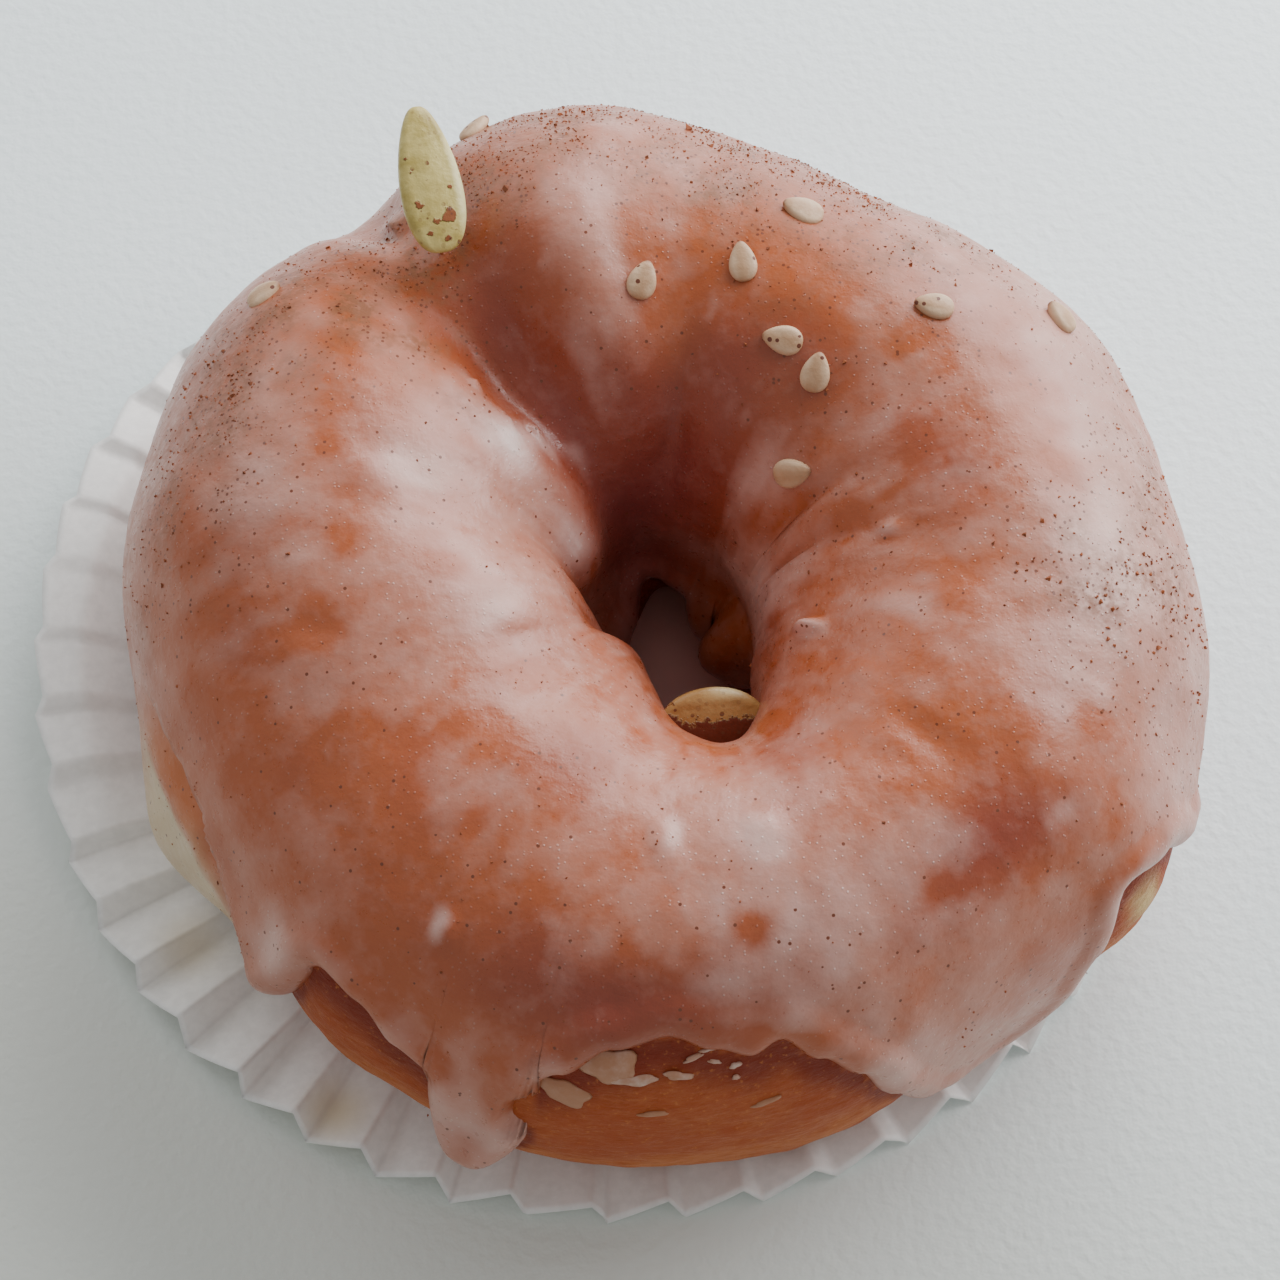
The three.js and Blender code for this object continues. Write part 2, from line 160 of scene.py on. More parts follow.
# Where the glaze is thick and milky, or thin so that the crust shows through, and two milky places
# that also paint highlights:
# around, half width, over, half length, share
MILK_PLACES = [
    # right side, from the outer edge up into the hole
    (306, 10, -4, 30, 0.25), (325, 7, 31, 6, -0.2), (345, 28, 32, 22, 0.3), (312, 9, 38, 9, -0.06),
    (18, 26, 50, 16, 0.08), (18, 54, 52, 26, 0.42), (317, 5, 53, 9, -0.3), (309, 8, 56, 5, -0.2),
    (323, 3, 57, 5, 0.25), (303, 5, 61, 8, -0.32), (335, 4.5, 65, 11, -0.35),
    # The milky place at 350, over 66, also paints the broad highlight on the right shoulder.
    (350, 26, 66, 26, 0.42), (12, 10, 70, 9, -0.16), (304, 7, 72, 10, 0.1), (306, 18, 74, 20, 0.16),
    (322, 15, 76, 34, -0.17), (330, 4, 76, 6, -0.2), (318, 6, 77, 8, -0.3), (38, 10, 84, 12, -0.2),
    (317, 6, 86, 16, -0.38), (40.5, 4, 89, 13, -0.42), (321, 13, 100, 34, -0.1),
    (324, 6, 100, 7, 0.2), (22, 9, 102, 9, -0.22), (346, 10, 104, 7, -0.12),
    (352, 4, 108, 14, -0.12), (332, 9, 110, 10, -0.08), (13, 3, 112, 8, -0.25),
    (20, 26, 112, 20, -0.07), (316, 2.4, 112, 5, -0.3), (344, 12, 112, 14, 0.2),
    (16, 10, 114, 10, 0.18), (332, 13, 116, 13, -0.34), (3, 3.5, 117, 5, 0.35),
    (349, 8, 120, 14, -0.14), (314, 8, 124, 12, -0.14), (12, 5, 126, 8, -0.5),
    (322, 6, 127, 20, -0.28), (347, 6, 132, 5, -0.2), (36, 7, 136, 6, 0.15),
    (302, 7, 138, 12, -0.5), (334, 4.6, 138.5, 7, 0.6), (330, 22, 144, 10, 0.16),
    (8, 26, 146, 20, 0.12), (341, 28, 146, 26, -0.26), (342, 12, 146, 12, 0.2),
    (0, 24, 152, 24, 0.32), (10, 14, 152, 16, -0.2), (346, 9, 156, 7, -0.15),
    (345, 18, 160, 18, 0.2), (12, 34, 162, 18, 0.12), (18, 10, 168, 14, 0.15),
    (0, 40, 172, 18, 0.2), (30, 50, 172, 22, 0.3),
    # back, from the outer edge up into the hole
    (132, 18, 40, 18, -0.2), (136, 14, 40, 20, -0.16), (125, 4, 46, 12, 0.4),
    (68, 18, 50, 10, -0.18), (98, 6, 54, 7, 0.3), (120, 11, 56, 22, -0.28), (76, 20, 62, 12, -0.08),
    (114, 4, 62, 16, -0.3), (94, 2.6, 74, 10, -0.2), (84, 2.6, 76, 12, -0.2),
    (70, 34, 80, 18, -0.1), (123, 8, 80, 18, -0.3), (69, 3.4, 82, 11, -0.38),
    (96, 8, 86, 26, -0.16), (66, 22, 88, 30, -0.16), (67, 4, 90, 7, -0.15), (91, 4, 90, 7, 0.16),
    (104, 9, 90, 38, 0.3), (48, 6, 92, 7, 0.14), (73, 5, 100, 6, 0.1), (57, 8, 104, 7, -0.2),
    (122, 12, 104, 30, -0.12), (125.5, 20, 110, 52, -0.62), (131, 7, 112, 22, -0.4),
    (66, 32, 113, 22, -0.2), (55, 18, 115, 15, -0.38), (78, 12, 118, 12, -0.12),
    (91, 9, 119, 18, -0.32), (110, 4, 124, 8, 0.12), (118, 5, 134, 16, -0.2),
    (134, 5, 134, 10, 0.25), (134, 5, 137, 10, 0.4), (90, 28, 138, 22, -0.34),
    (46, 20, 142, 12, 0.3), (123, 10, 145, 8, 0.3), (54, 10, 150, 18, 0.12), (60, 7, 150, 12, 0.1),
    (50, 15, 152, 22, 0.3), (88, 66, 160, 36, -0.5), (88, 40, 174, 16, 0.34),
    (60, 70, 178, 12, 0.2),
    # left side, from the outer edge up into the hole
    (199, 24, -24, 26, 0.5), (192, 12, 8, 14, 0.3), (224, 6, 22, 15, 0.45), (208, 8, 32, 8, 0.12),
    (178, 8, 48, 16, -0.14), (215, 30, 50, 18, 0.14), (225, 24, 52, 16, 0.14),
    (140, 12, 54, 9, -0.15), (203, 5, 56, 7, -0.18), (225, 50, 58, 34, -0.3),
    (188, 5, 60, 16, -0.14), (217, 7, 60, 16, -0.2), (216, 15, 62, 18, 0.14),
    (222, 12, 62, 20, 0.1), (198, 4, 67, 12, -0.35), (156, 9, 70, 18, 0.28),
    (156, 8, 70, 14, -0.12), (170, 12, 70, 24, 0.16), (209, 4, 70, 9, 0.2), (158, 4, 71, 7, -0.2),
    (160, 22, 74, 22, -0.06), (202, 44, 76, 34, 0.13), (222, 12, 77, 10, -0.32),
    (198, 8, 77.5, 6.5, -0.62), (143, 3, 78, 13, -0.28), (140, 14, 84, 40, 0.08),
    (166, 4, 88, 6, -0.3), (183, 6, 90, 6, -0.12), (228, 5, 90, 6, 0.2), (190, 10, 94, 8, 0.1),
    (232, 26, 94, 13, -0.14), (218.5, 4, 99, 4, -0.3), (190, 5, 107, 9, -0.22),
    (166, 9, 108, 15, 0.42), (192, 7, 110, 7, -0.18), (192, 7, 110, 8, -0.2),
    (229, 7, 115, 9, -0.26), (228, 8, 116, 10, -0.2), (206, 6, 117, 8, 0.3),
    (228, 9, 118, 13, -0.2), (196, 28, 120, 38, 0.28), (232, 9, 120, 8, -0.16),
    (154, 3, 123, 8, -0.2), (162, 36, 124, 42, 0.3), (144, 6, 130, 14, 0.15),
    (139, 6, 131, 10, 0.4), (144, 10, 131, 15, 0.42), (216, 22, 137, 13, 0.18),
    (152, 15, 154, 20, 0.5), (160, 14, 156, 12, 0.25), (152, 8, 158, 16, 0.15),
    (148, 4, 170, 10, -0.5),
    # front, from the outer edge up into the hole
    (250.5, 6, 8, 18, 0.3), (245, 5, 20, 9, -0.35), (296, 8, 20, 16, 0.3), (247, 2, 22, 8, -0.4),
    (254, 4, 22, 8, -0.7), (288, 5, 27, 10, -0.6), (234, 9, 29, 7, -0.55), (255, 5, 29, 8, -0.5),
    (282, 6, 41, 11, -0.8), (268, 13, 42, 6, -0.2), (292, 9, 42, 12, 0.18), (268, 12, 46, 9, -0.62),
    (284, 9, 48, 14, 0.24), (262, 16, 52, 22, -0.1), (296, 20, 55, 14, 0.14),
    (242.5, 2.8, 56, 5.5, 0.75), (235, 7, 57, 13, -0.24), (248, 8, 58, 22, -0.3),
    (266, 8, 60, 12, -0.26), (278, 9, 60, 8, 0.18), (255, 3.4, 70, 5, 0.2), (272, 12, 72, 24, 0.08),
    (286, 16, 72, 18, 0.1), (292, 20, 72, 30, 0.1), (281.5, 6, 73.5, 8, -0.55),
    (290, 18, 76, 26, 0.22), (277, 3, 80, 10, 0.2), (240, 12, 84, 14, 0.1), (258, 9, 84, 8, 0.1),
    (242, 7, 89, 6, 0.14), (288, 14, 92, 12, 0.12), (234, 7, 97, 6, -0.32), (271.5, 4, 98, 8, 0.4),
    # The milky place at 285.5, over 98, also paints a highlight on the front crown.
    (285.5, 5.5, 98, 12, 0.45), (250, 8, 100, 6, -0.12), (284, 24, 104, 26, 0.26),
    (246, 14, 110, 12, -0.14), (248, 14, 112, 13, -0.12), (283, 9, 133, 6, -0.2),
    (262, 6, 134, 11, 0.25), (236, 10, 146, 9, 0.2), (262, 3, 147, 5, -0.2),
]
MILK_LEVEL = 0.13
# Where the crust beneath is redder, and where painted shade darkens the glaze in the valley near
# 125 and low in the hole
RED_AND_SHADE_PLACES = [
    (85, 75, 150, 48, 1.0), (125, 22, 106, 60, 0.75), (262, 32, 56, 24, 0.6),
    (312, 22, 62, 22, 0.7), (300, 20, 120, 30, 0.3), (20, 30, 100, 26, 0.4), (60, 30, 112, 24, 0.6),
    (345, 30, 170, 26, 0.4), (215, 60, 175, 30, 0.7), (250, 20, 100, 20, 0.4),
]

# Where cinnamon too fine to see as grains dulls and darkens the glaze; the wide place at 140 also
# paints shade on the back-left shoulder, which faces away from the window:
# around, half width, over, half length, share
DUST_AND_SHADE_PLACES = [
    (140, 20, 84, 54, 1.2), (72, 46, 88, 38, 0.8), (30, 22, 92, 24, 0.4), (322, 10, 92, 34, 0.5),
    (121, 12, 54, 20, 0.6),
]

# Sesame seeds: around, over, turn in degrees, sink in millimetres
SESAME = [
    (96, 107, 80, 0.1), (75, 95, 95, 0.1), (69, 73, 160, 0.15), (61, 110, 165, 0.35),
    (50, 113, 75, 0.05), (42, 80, 170, 0.1), (33, 49, 140, 0.1), (37, 136, 20, 0.4),
    (145, 49, 20, 0.3), (111, 33, 60, 0.0),
]
SEED_TILT = (0.0, -0.22, 0.1)
SEED_REST = 0.25
# Narrowing towards the tip, share of the raised rim, and bluntness: sesame and the two pepitas
SESAME_POINT, STANDING_POINT, HOLE_PEPITA_POINT = 0.3, 0.22, 0.0
SESAME_RIM, PEPITA_RIM_SHARE = 0.06, 0.1
STANDING_BLUNT, HOLE_PEPITA_BLUNT = 0.72, 1.05

# Pepitas: where the standing one starts and ends and which way it faces, and the one in the hole
STANDING_FOOT = (-19.2, 26.0, 38.6)
STANDING_TIP = (-21.8, 38.4, 43.6)
STANDING_FACE = (0.22, -0.44, 0.87)
STANDING_SIZE = (12.9, 5.4, 2.5)
# Cinnamon stuck to it: place along and across as shares of its half size, and reach in millimetres
PEPITA_CLUMPS = [
    (-0.36, 0.5, 0.9), (-0.56, -0.4, 1.2), (-0.62, 0.1, 0.7), (-0.74, 0.35, 0.6),
    (-0.16, -0.55, 0.5), (0.12, 0.6, 0.45), (-0.4, -0.05, 0.5), (0.3, 0.7, 0.4), (0.2, 0.0, 0.35),
    (-0.84, -0.2, 0.5),
]
HOLE_PEPITA_CENTRE = (3.9, -11.3, 23.6)
HOLE_PEPITA_ALONG = (1.0, 0.1, 0.0)
HOLE_PEPITA_FACE = (0.0, -0.62, 0.78)
HOLE_PEPITA_SIZE = (9.4, 6.2, 2.3)

# Where the cinnamon fell: around, half width, over, half length, grains per 100 square millimetres
CINNAMON_FALLS = [
    (352, 24, 66, 38, 110), (6, 24, 42, 30, 60), (80, 60, 62, 30, 210), (88, 44, 38, 28, 260),
    (118, 30, 62, 28, 220), (150, 30, 60, 34, 150), (172, 26, 48, 34, 80), (55, 26, 112, 26, 24),
    (140, 22, 116, 20, 24), (345, 26, 118, 28, 22), (316, 9, 112, 20, 14), (238, 26, 126, 16, 16),
    (262, 10, 140, 10, 16), (20, 22, 128, 20, 16), (96, 14, 100, 24, 20), (222, 8, 10, 16, 16),
    (186, 10, 20, 16, 40), (80, 80, 36, 26, 60), (0, 50, 34, 26, 40), (190, 20, 20, 24, 20),
]
CINNAMON_EVERYWHERE = 7.0
# Grains per 100 square millimetres at which the powder between them covers fully
CINNAMON_FULL = 110.0
# Lowest and highest place over the rope where grains are drawn
CINNAMON_SPAN = (-20, 190)

# Flakes of dried glaze on the bare crust: around, over, half length, half width, turn, whiteness
FLAKES = [
    (264, 39, 2.1, 1.8, 10, 0.12), (259.5, 29, 2.1, 1.4, -15, 0.0), (266.5, 35.5, 1.8, 0.6, 5, 0.3),
    (271, 36.5, 1.3, 0.4, -10, 0.25), (272.6, 41.5, 0.9, 0.25, 20, 0.28),
    (274.4, 43.5, 0.8, 0.22, 10, 0.3), (274.8, 39.5, 0.6, 0.2, -25, 0.28),
    (277.6, 43.5, 0.3, 0.7, 0, 0.35), (277, 37, 0.5, 0.3, 15, 0.35), (277, 33, 0.35, 0.22, 0, 0.25),
    (268.5, 24, 1.2, 0.3, 0, 0.0), (280, 21, 1.4, 0.3, 8, 0.0),
]

# Paper case: its middle, radius, flutes and their rise, the curl at the back and the tuck there
PAPER_CENTRE = (-5.2, 4.2)
PAPER_RADIUS = 53.4
PAPER_FLUTES = 48
PAPER_LIFT = 2.0
PAPER_FLUTE_HEIGHT = 1.3
PAPER_CURL = 3.0
PAPER_TUCK = 2.4
PAPER_STEPS = 16
# Place of the crest within a pleat, the height over the table, and where the dough's foot ends
CREST_SHARE = 0.75
PAPER_GAP = 0.02
FOOT_OVER = -64.0
# Its inner rings and the number of rings from there outwards, and where it starts to rise
PAPER_INNER_RINGS, PAPER_FLAT_RADIUS, PAPER_RINGS = [6.0, 20.0], 30, 34
PAPER_RISE_START, PAPER_RISE_LENGTH = 2.2, 12
# Sugar stains on the paper: x, y, reach, share
PAPER_STAINS = [(-29, -39.5, 4.6, 0.8), (-43, -24, 5, 0.5)]

# Camera: its aim, how far off it stands, how high it looks from, and the picture's focal length
CAMERA_AIM = (-2.3, -1.3, 18.5)
CAMERA_DISTANCE = 300.0
CAMERA_ELEVATION = 66.0
FOCAL_PIXELS = 3390.0
PICTURE_PIXELS = 1280.0
SENSOR_WIDTH = 36.0
CLIP_START = 0.01

# Stage: half width and height of the floor, and the colours of its light
FLOOR_HALF_WIDTH = 900.0
FLOOR_HEIGHT = -0.05
SKY_COLOUR = (0.94, 0.955, 0.965, 1.0)
WINDOW_COLOUR = (0.985, 0.985, 1.0)
WINDOW_AIM = (0, 10, 15)
# Lights: name, share of the window's power, width and height in metres, place
WINDOWS = [
    ("window", 1.0, 0.55, 0.38, (235, 285, 220)),
    ("side_window", 0.1, 0.26, 0.26, (-270, 290, 240)),
]


# Colours and small maths

def paint(red, green, blue):
    """Linear colour of a paint given by its 0 to 255 screen values."""
    share = np.array([red, green, blue]) / 255.0
    line = np.where(share <= 0.04045, share / 12.92, ((share + 0.055) / 1.055) ** 2.4)
    return tuple(float(part) for part in line)


# Colours of the seeds that have no setting
# The pale rims also paint the highlight along each pepita's edge that faces the window.
PEPITA_LIT_RIM, PEPITA_STAIN = paint(216, 206, 150), paint(138, 76, 36)
PEPITA_SPECKS = paint(110, 62, 38)
GOLD_BODY, GOLD_STREAK = paint(180, 140, 84), paint(160, 116, 62)
# The gold seed's dark stain is painted shade along its lower edge and left end.
GOLD_LIT_RIM, GOLD_SHADE = paint(214, 192, 140), paint(112, 48, 24)
SESAME_TIP, SESAME_SPECKS = paint(120, 66, 42), paint(104, 54, 34)


def turned(angle):
    """The same angle between -180 and 180."""
    return (angle + 180.0) % 360.0 - 180.0


def hump(offset, half):
    """Squared cosine that is 1 at 0 and falls to 0 at the half width."""
    return np.cos(np.clip(offset / half, -1, 1) * np.pi / 2) ** 2


def eased(value, low, high):
    """Smooth step from 0 at low to 1 at high."""
    share = np.clip((value - low) / (high - low), 0, 1)
    return share * share * (3 - 2 * share)


def hump_at(around, over, at, half, top, reach):
    """Hump over both angles about one place."""
    return hump(turned(around - at), half) * hump(turned(over - top), reach)


def sum_around(table, around):
    """Sum of the table's humps round the ring."""
    return sum(mm * hump(turned(around - at), half) for at, half, mm in table)


def sum_places(places, around, over):
    """Sum of the places' humps over both angles."""
    return sum(size * hump_at(around, over, *place) for *place, size in places)


def value_around(table, around):
    """Smooth line through the table's pairs of angle and value, closed round the ring."""
    angle = np.asarray(around, float) % 360
    stops = np.array([at for at, _ in table] + [table[0][0] + 360.0])
    values = np.array([value for _, value in table] + [table[0][1]], float)
    i = np.clip(np.searchsorted(stops, angle, side="right") - 1, 0, len(table) - 1)
    return values[i] + (values[i + 1] - values[i]) * eased(angle, stops[i], stops[i + 1])


def cloud(points, size, seed):
    """Smooth random field between -1 and 1 with lumps of that size in millimetres.

    Random values on a cubic lattice, blended by smooth steps along the three axes.
    """
    side = 32
    lattice = np.random.default_rng(seed).uniform(-1, 1, (side, side, side))
    place = np.asarray(points) / size
    cell = np.floor(place).astype(int)
    share = place - cell
    share = share * share * (3 - 2 * share)
    total = 0.0
    for corner in np.ndindex(2, 2, 2):
        weight = np.prod(np.where(np.array(corner) == 1, share, 1 - share), axis=-1)
        x, y, z = np.moveaxis((cell + corner) % side, -1, 0)
        total = total + weight * lattice[x, y, z]
    return total


def unit(vectors):
    """The vectors at length 1."""
    return vectors / np.maximum(np.linalg.norm(vectors, axis=-1, keepdims=True), 1e-9)


def normal_of(surface, around, over, step=0.25):
    """Outward direction of a surface: the cross product of its two small differences."""
    along = surface(around + step, over) - surface(around - step, over)
    across = surface(around, over + step) - surface(around, over - step)
    return unit(np.cross(along, across))


# Dough

def rope(around, over):
    """Ring of dough: an oval whose half width and heights swell round the ring, flat below.

    Out: the ring's radius plus the half width times the cosine of over, and the swells. Up: the
    belly's height plus the rise, or underneath the drop, times the sine of over; half the sum of
    that height and of the root of its square and a little keeps it above the table.
    """
    around, over = np.broadcast_arrays(np.asarray(around, float), np.asarray(over, float))
    c, s = np.cos(np.radians(over)), np.sin(np.radians(over))
    across = c * (1 + np.where(s < 0, FOOT_SQUARENESS * s * s, 0))
    outer = sum_around(OUTER_SWELLS, around) * (1 + c) / 2
    inner = sum_around(HOLE_SWELLS, around) * (1 - c) / 2
    feet = sum_places(HOLE_FEET, around, over)
    r = RING_RADIUS + ROPE_HALF_WIDTH * across + outer - inner - feet
    rise = CROWN_HEIGHT - BELLY_HEIGHT + sum_around(CROWN_SWELLS, around)
    height = BELLY_HEIGHT + np.where(s > 0, rise, FOOT_DROP) * s
    z = FOOT_HEIGHT + (height + np.sqrt(height * height + 0.6)) / 2
    return np.stack([r * np.cos(np.radians(around)), r * np.sin(np.radians(around)), z], -1)


def relief(around, over):
    """Height of the dough's lumps less its creases, fading out underneath."""
    mm = sum(
        size * np.sin(n * np.radians(around) + p) * np.sin(m * np.radians(over) + q)
        for size, n, p, m, q in LUMPS
    )
    for at, half, top, reach, depth, lean in CREASES:
        off = turned(over - top)
        mm = mm - depth * hump(turned(around - at - lean * off), half) * hump(off, reach)
    return mm * eased(np.sin(np.radians(over)), -0.97, -0.5)


def dough(around, over):
    """The rope moved out along its normal by the relief."""
    return rope(around, over) + normal_of(rope, around, over) * relief(around, over)[..., None]


def crust_height(points, over):
    """Fine wrinkles of the baked crust: stretched random fields, flattened underneath."""
    flat = points * np.array([1.0, 1.0, 2.6])
    mm = 0.16 * cloud(flat, 3.4, 11) + 0.09 * cloud(flat, 1.5, 12)
    return mm * eased(np.sin(np.radians(over)), -0.97, -0.6)


# Glaze

def edge_over(around):
    """Where the glaze ends on the outer flank: the edge line, less each drip's round length."""
    over = value_around(GLAZE_EDGE, around)
    for at, half, length in DRIPS:
        over = over - length * hump(turned(around - at), half) ** DRIP_ROUNDNESS
    return over


def below_lip(around, over):
    """How far below the line of the upper lip on the left a place lies."""
    return value_around(SLIT_LIP, around) - over


def slit_share(around, over):
    """1 just below the upper lip on the left, easing away downwards and to both ends."""
    below = below_lip(around, over)
    window = np.sqrt(hump(turned(around - SLIT_MIDDLE), SLIT_HALF_LENGTH))
    return window * eased(below, 0, SLIT_STEP) * (1 - eased(below, SLIT_STEP, SLIT_WIDTH))


def bare_slit(around, over):
    """Where the slit bares the crust: a band below the lip that fades out to both ends."""
    middle, half, start, end = BARE_SLIT
    below = below_lip(around, over)
    window = np.sqrt(hump(turned(around - middle), half))
    return window * eased(below, 0.2, 1.0) * (1 - eased(below, start, end))


def apron(around, over):
    """Where creamy glaze has run down below the slit: a hump round the ring, full lower down."""
    middle, half, start, end = APRON
    lower = eased(below_lip(around, over), start, end)
    return np.clip(1.3 * hump(turned(around - middle), half) * lower, 0, 1)


def hole_shade_share(points, around, over):
    """Painted shade: the glaze darkened low on the far wall of the hole, which faces away from the
    window.
    """
    shade = eased(over, 122, 168) * eased(35 - points[..., 2], 0, 12)
    return 0.85 * shade * hump(turned(around - 108), 74)


def dull_and_shade_share(around, over):
    """Where the finest cinnamon dulls the glaze, with painted shade on the back-left shoulder, 0 to
    1 and beyond.
    """
    return sum_places(DUST_AND_SHADE_PLACES, around, over)


def dust_and_shade_share(points, around, over):
    """How much fine cinnamon lies on the glaze, with painted shade on the back-left shoulder: its
    falls and dull places, in loose drifts.
    """
    dust = np.clip(sum_places(CINNAMON_FALLS, around, over) / CINNAMON_FULL, 0, 1)
    drifts = np.clip(0.8 + 0.9 * cloud(points, 3.0, 72), 0.1, 1.4)
    return (dust + 0.8 * dull_and_shade_share(around, over)) * drifts


def glaze_depth(around, over, inside):
    """Depth of the glaze: its layer, a bead along the edge, raised places and the slit.

    It rises from the edge like a quarter circle: the root of the share times 2 less the share.
    """
    sizes = bpy.context.scene.doughnut_glaze
    full = 1 - 0.9 * hump_at(around, over, *THIN_PLACE)
    bead = sizes.bead * full * hump(inside - BEAD_MIDDLE, BEAD_MIDDLE)
    mm = sizes.depth * (0.45 + 0.55 * full) + bead
    mm = mm + sum_places(GLAZE_MARKS, around, over)
    mm = mm - SLIT_DEPTH * slit_share(around, over)
    share = np.clip(inside / EDGE_ROUNDING, 0, 1)
    return mm * np.sqrt(share * (2 - share))


def skin_height(points, around, over):
    """Small relief of the glaze: random lumps of three sizes, wrinkles beside the hole as a sine
    round the ring, a crumpled place and the marks."""
    mm = 0.16 * cloud(points, 5.0, 21) + 0.07 * cloud(points, 2.1, 22)
    mm = mm + 0.02 * cloud(points, 0.9, 23)
    waves = np.sin(np.radians((around + 0.12 * over) * 33))
    mm = mm + 0.11 * hump_at(around, over, *WRINKLE_PLACE) * waves
    mm = mm + 0.3 * hump_at(around, over, *CRUMPLE_PLACE) * cloud(points, 0.8, 24)
    return mm + sum_places(SKIN_MARKS, around, over)


def glaze(around, over, inside=9.0):
    """The dough moved out by the depth of the glaze and its skin's relief."""
    base = dough(around, over)
    rounded = np.clip(inside / SKIN_START, 0, 1)
    mm = glaze_depth(around, over, inside) + rounded * skin_height(base, around, over)
    mm = mm - sum_places(BARE_PLACES, around, over)
    return base + normal_of(dough, around, over) * mm[..., None]


def edge_distance(points, edge, reach):
    """Distance of each grid point from an edge line's stretches, that many columns either way.

    A point's nearest place on a stretch is its start plus the share of the stretch, held between
    0 and 1, that the point lies along it.
    """
    stretch = np.roll(edge, -1, axis=0) - edge
    length = np.maximum((stretch ** 2).sum(-1), 1e-9)
    nearest = np.full(points.shape[:-1], np.inf)
    for shift in range(-reach, reach + 1):
        start, along = np.roll(edge, shift, axis=0), np.roll(stretch, shift, axis=0)
        share = ((points - start) * along).sum(-1) / np.roll(length, shift)
        gap = points - start - np.clip(share, 0, 1)[..., None] * along
        nearest = np.minimum(nearest, np.linalg.norm(gap, axis=-1))
    return nearest


def milkiness(points, around, over, inside):
    """How thick and milky the glaze is, 0 to 1: random clouds and the milky and thin places, two of
    which also paint highlights.
    """
    bend = 1.6 * cloud(points, 4.5, 31) + 0.9 * cloud(points, 1.8, 33)
    lean = 2.2 * cloud(points, 4.5, 32) + 1.2 * cloud(points, 1.8, 34)
    run = np.stack(np.broadcast_arrays(around * 128 / 360, over / 10, 0.0), -1)
    share = MILK_LEVEL + 0.1 * cloud(points, 6.0, 35) + 0.1 * cloud(points, 2.6, 36)
    share = share + 0.09 * cloud(run, 1.0, 37)
    share = share + sum_places(MILK_PLACES, around + bend, over + lean)
    bead = 0.22 - 0.3 * hump(turned(around - 273), 17) * eased(over, 15, 30)
    return np.clip(share + bead * hump(inside - 1.6, 2.4), 0, 1)


def glaze_columns():
    """Angles of the glaze's columns: even round the ring, and closer beside each drip's sides."""
    beside = np.geomspace(0.04, 0.46, 8)
    sides = [at + side * (half - beside) for at, half, _ in DRIPS for side in (-1, 1)]
    even = np.linspace(0, 360, GLAZE_COLUMNS, endpoint=False)
    around = np.sort(np.concatenate([even, *sides]))
    return around[np.diff(around, append=360) > 0.025]


def glaze_rows(low, high):
    """Angles of the glaze's rows from its lower edge to its edge in the hole.

    The rows are closer together near both edges, and follow each edge's line less the farther
    they are from it: by the cube of the share that is left.
    """
    t = np.linspace(0, 1, GLAZE_ROWS)[:, None]
    share = t - 0.5 * np.sin(2 * np.pi * t) / (2 * np.pi)
    over = low.mean() + (high.mean() - low.mean()) * share
    return over + (low - low.mean()) * (1 - share) ** 3 + (high - high.mean()) * share ** 3


# Seeds

def seed_grid(size, point, columns, rows, rim, blunt=0.86):
    """Flat drop-shaped seed along X: an oval narrowed towards its tip, with a low raised rim.

    Along: less the cosine of t. Across: a power of the sine of t, less the point's share of a
    line and a square along, times the cosine of p. Up: powers of the sines of t and of p.
    """
    length, width, thickness = size
    t = np.linspace(0, np.pi, rows)[:, None]
    p = np.linspace(0, 2 * np.pi, columns, endpoint=False)[None, :]
    x = -np.cos(t)
    wide = np.sin(t) ** blunt * (1 - point * x - point * 0.5 * x * x)
    y = wide * np.cos(p)
    flat = np.sign(np.sin(p)) * np.abs(np.sin(p)) ** 0.8
    ridge = 1 - rim + rim * hump(np.abs(np.cos(p)) - 0.8, 0.3)
    z = np.sin(t) ** 0.7 * flat * ridge
    return np.stack([x * length / 2 + 0 * y, y * width / 2, z * thickness / 2], -1)


def placed(grid, centre, along, face):
    """The grid turned so that X runs along one direction and Z looks along the face, and moved."""
    x = unit(np.asarray(along, float))
    z = unit(np.asarray(face, float) - x * np.dot(face, x))
    return np.asarray(centre) + grid @ np.stack([x, np.cross(z, x), z])


def pepita_form(size, point, blunt, centre, along, face):
    """Corners and faces of a pumpkin seed in place, and its corners as shares of its half size."""
    grid = seed_grid(size, point, PEPITA_COLUMNS, PEPITA_ROWS, PEPITA_RIM_SHARE, blunt)
    corners, faces = seed_skin(placed(grid, centre, along, face))
    return corners, faces, seed_skin(grid)[0] / (np.array(size) / 2)


# Paper

def fold_wave(pleat, share):
    """Pleats as -1 to 1: a slow rise up to each crest and a quick fall, uneven from pleat to pleat.

    Share is the place within a pleat, 0 to 1.
    """
    tall = np.random.default_rng(51).uniform(0.6, 1.15, PAPER_FLUTES)
    rise, fall = share / CREST_SHARE, (1 - share) / (1 - CREST_SHARE)
    return (2 * np.where(share < CREST_SHARE, rise, fall) - 1) * tall[pleat]


def beyond_foot(x, y):
    """How far outside the foot of the dough a place of the paper lies."""
    foot = rope(np.degrees(np.arctan2(y, x)), FOOT_OVER)
    return np.hypot(x, y) - np.hypot(foot[..., 0], foot[..., 1])


def paper_lift(x, y, own, wave):
    """How high the paper stands: flat under the dough, then rising in pleats, with a curl."""
    free = np.clip((beyond_foot(x, y) - PAPER_RISE_START) / PAPER_RISE_LENGTH, 0, 1.2)
    curl = PAPER_CURL * free * free * hump(turned(own - 170), 38)
    steep = 1.2 - 1.08 * hump(turned(own - 172), 66) + 0.5 * hump(turned(own - 296), 34)
    return free * (PAPER_LIFT + steep * PAPER_FLUTE_HEIGHT * wave) + curl


# Meshes

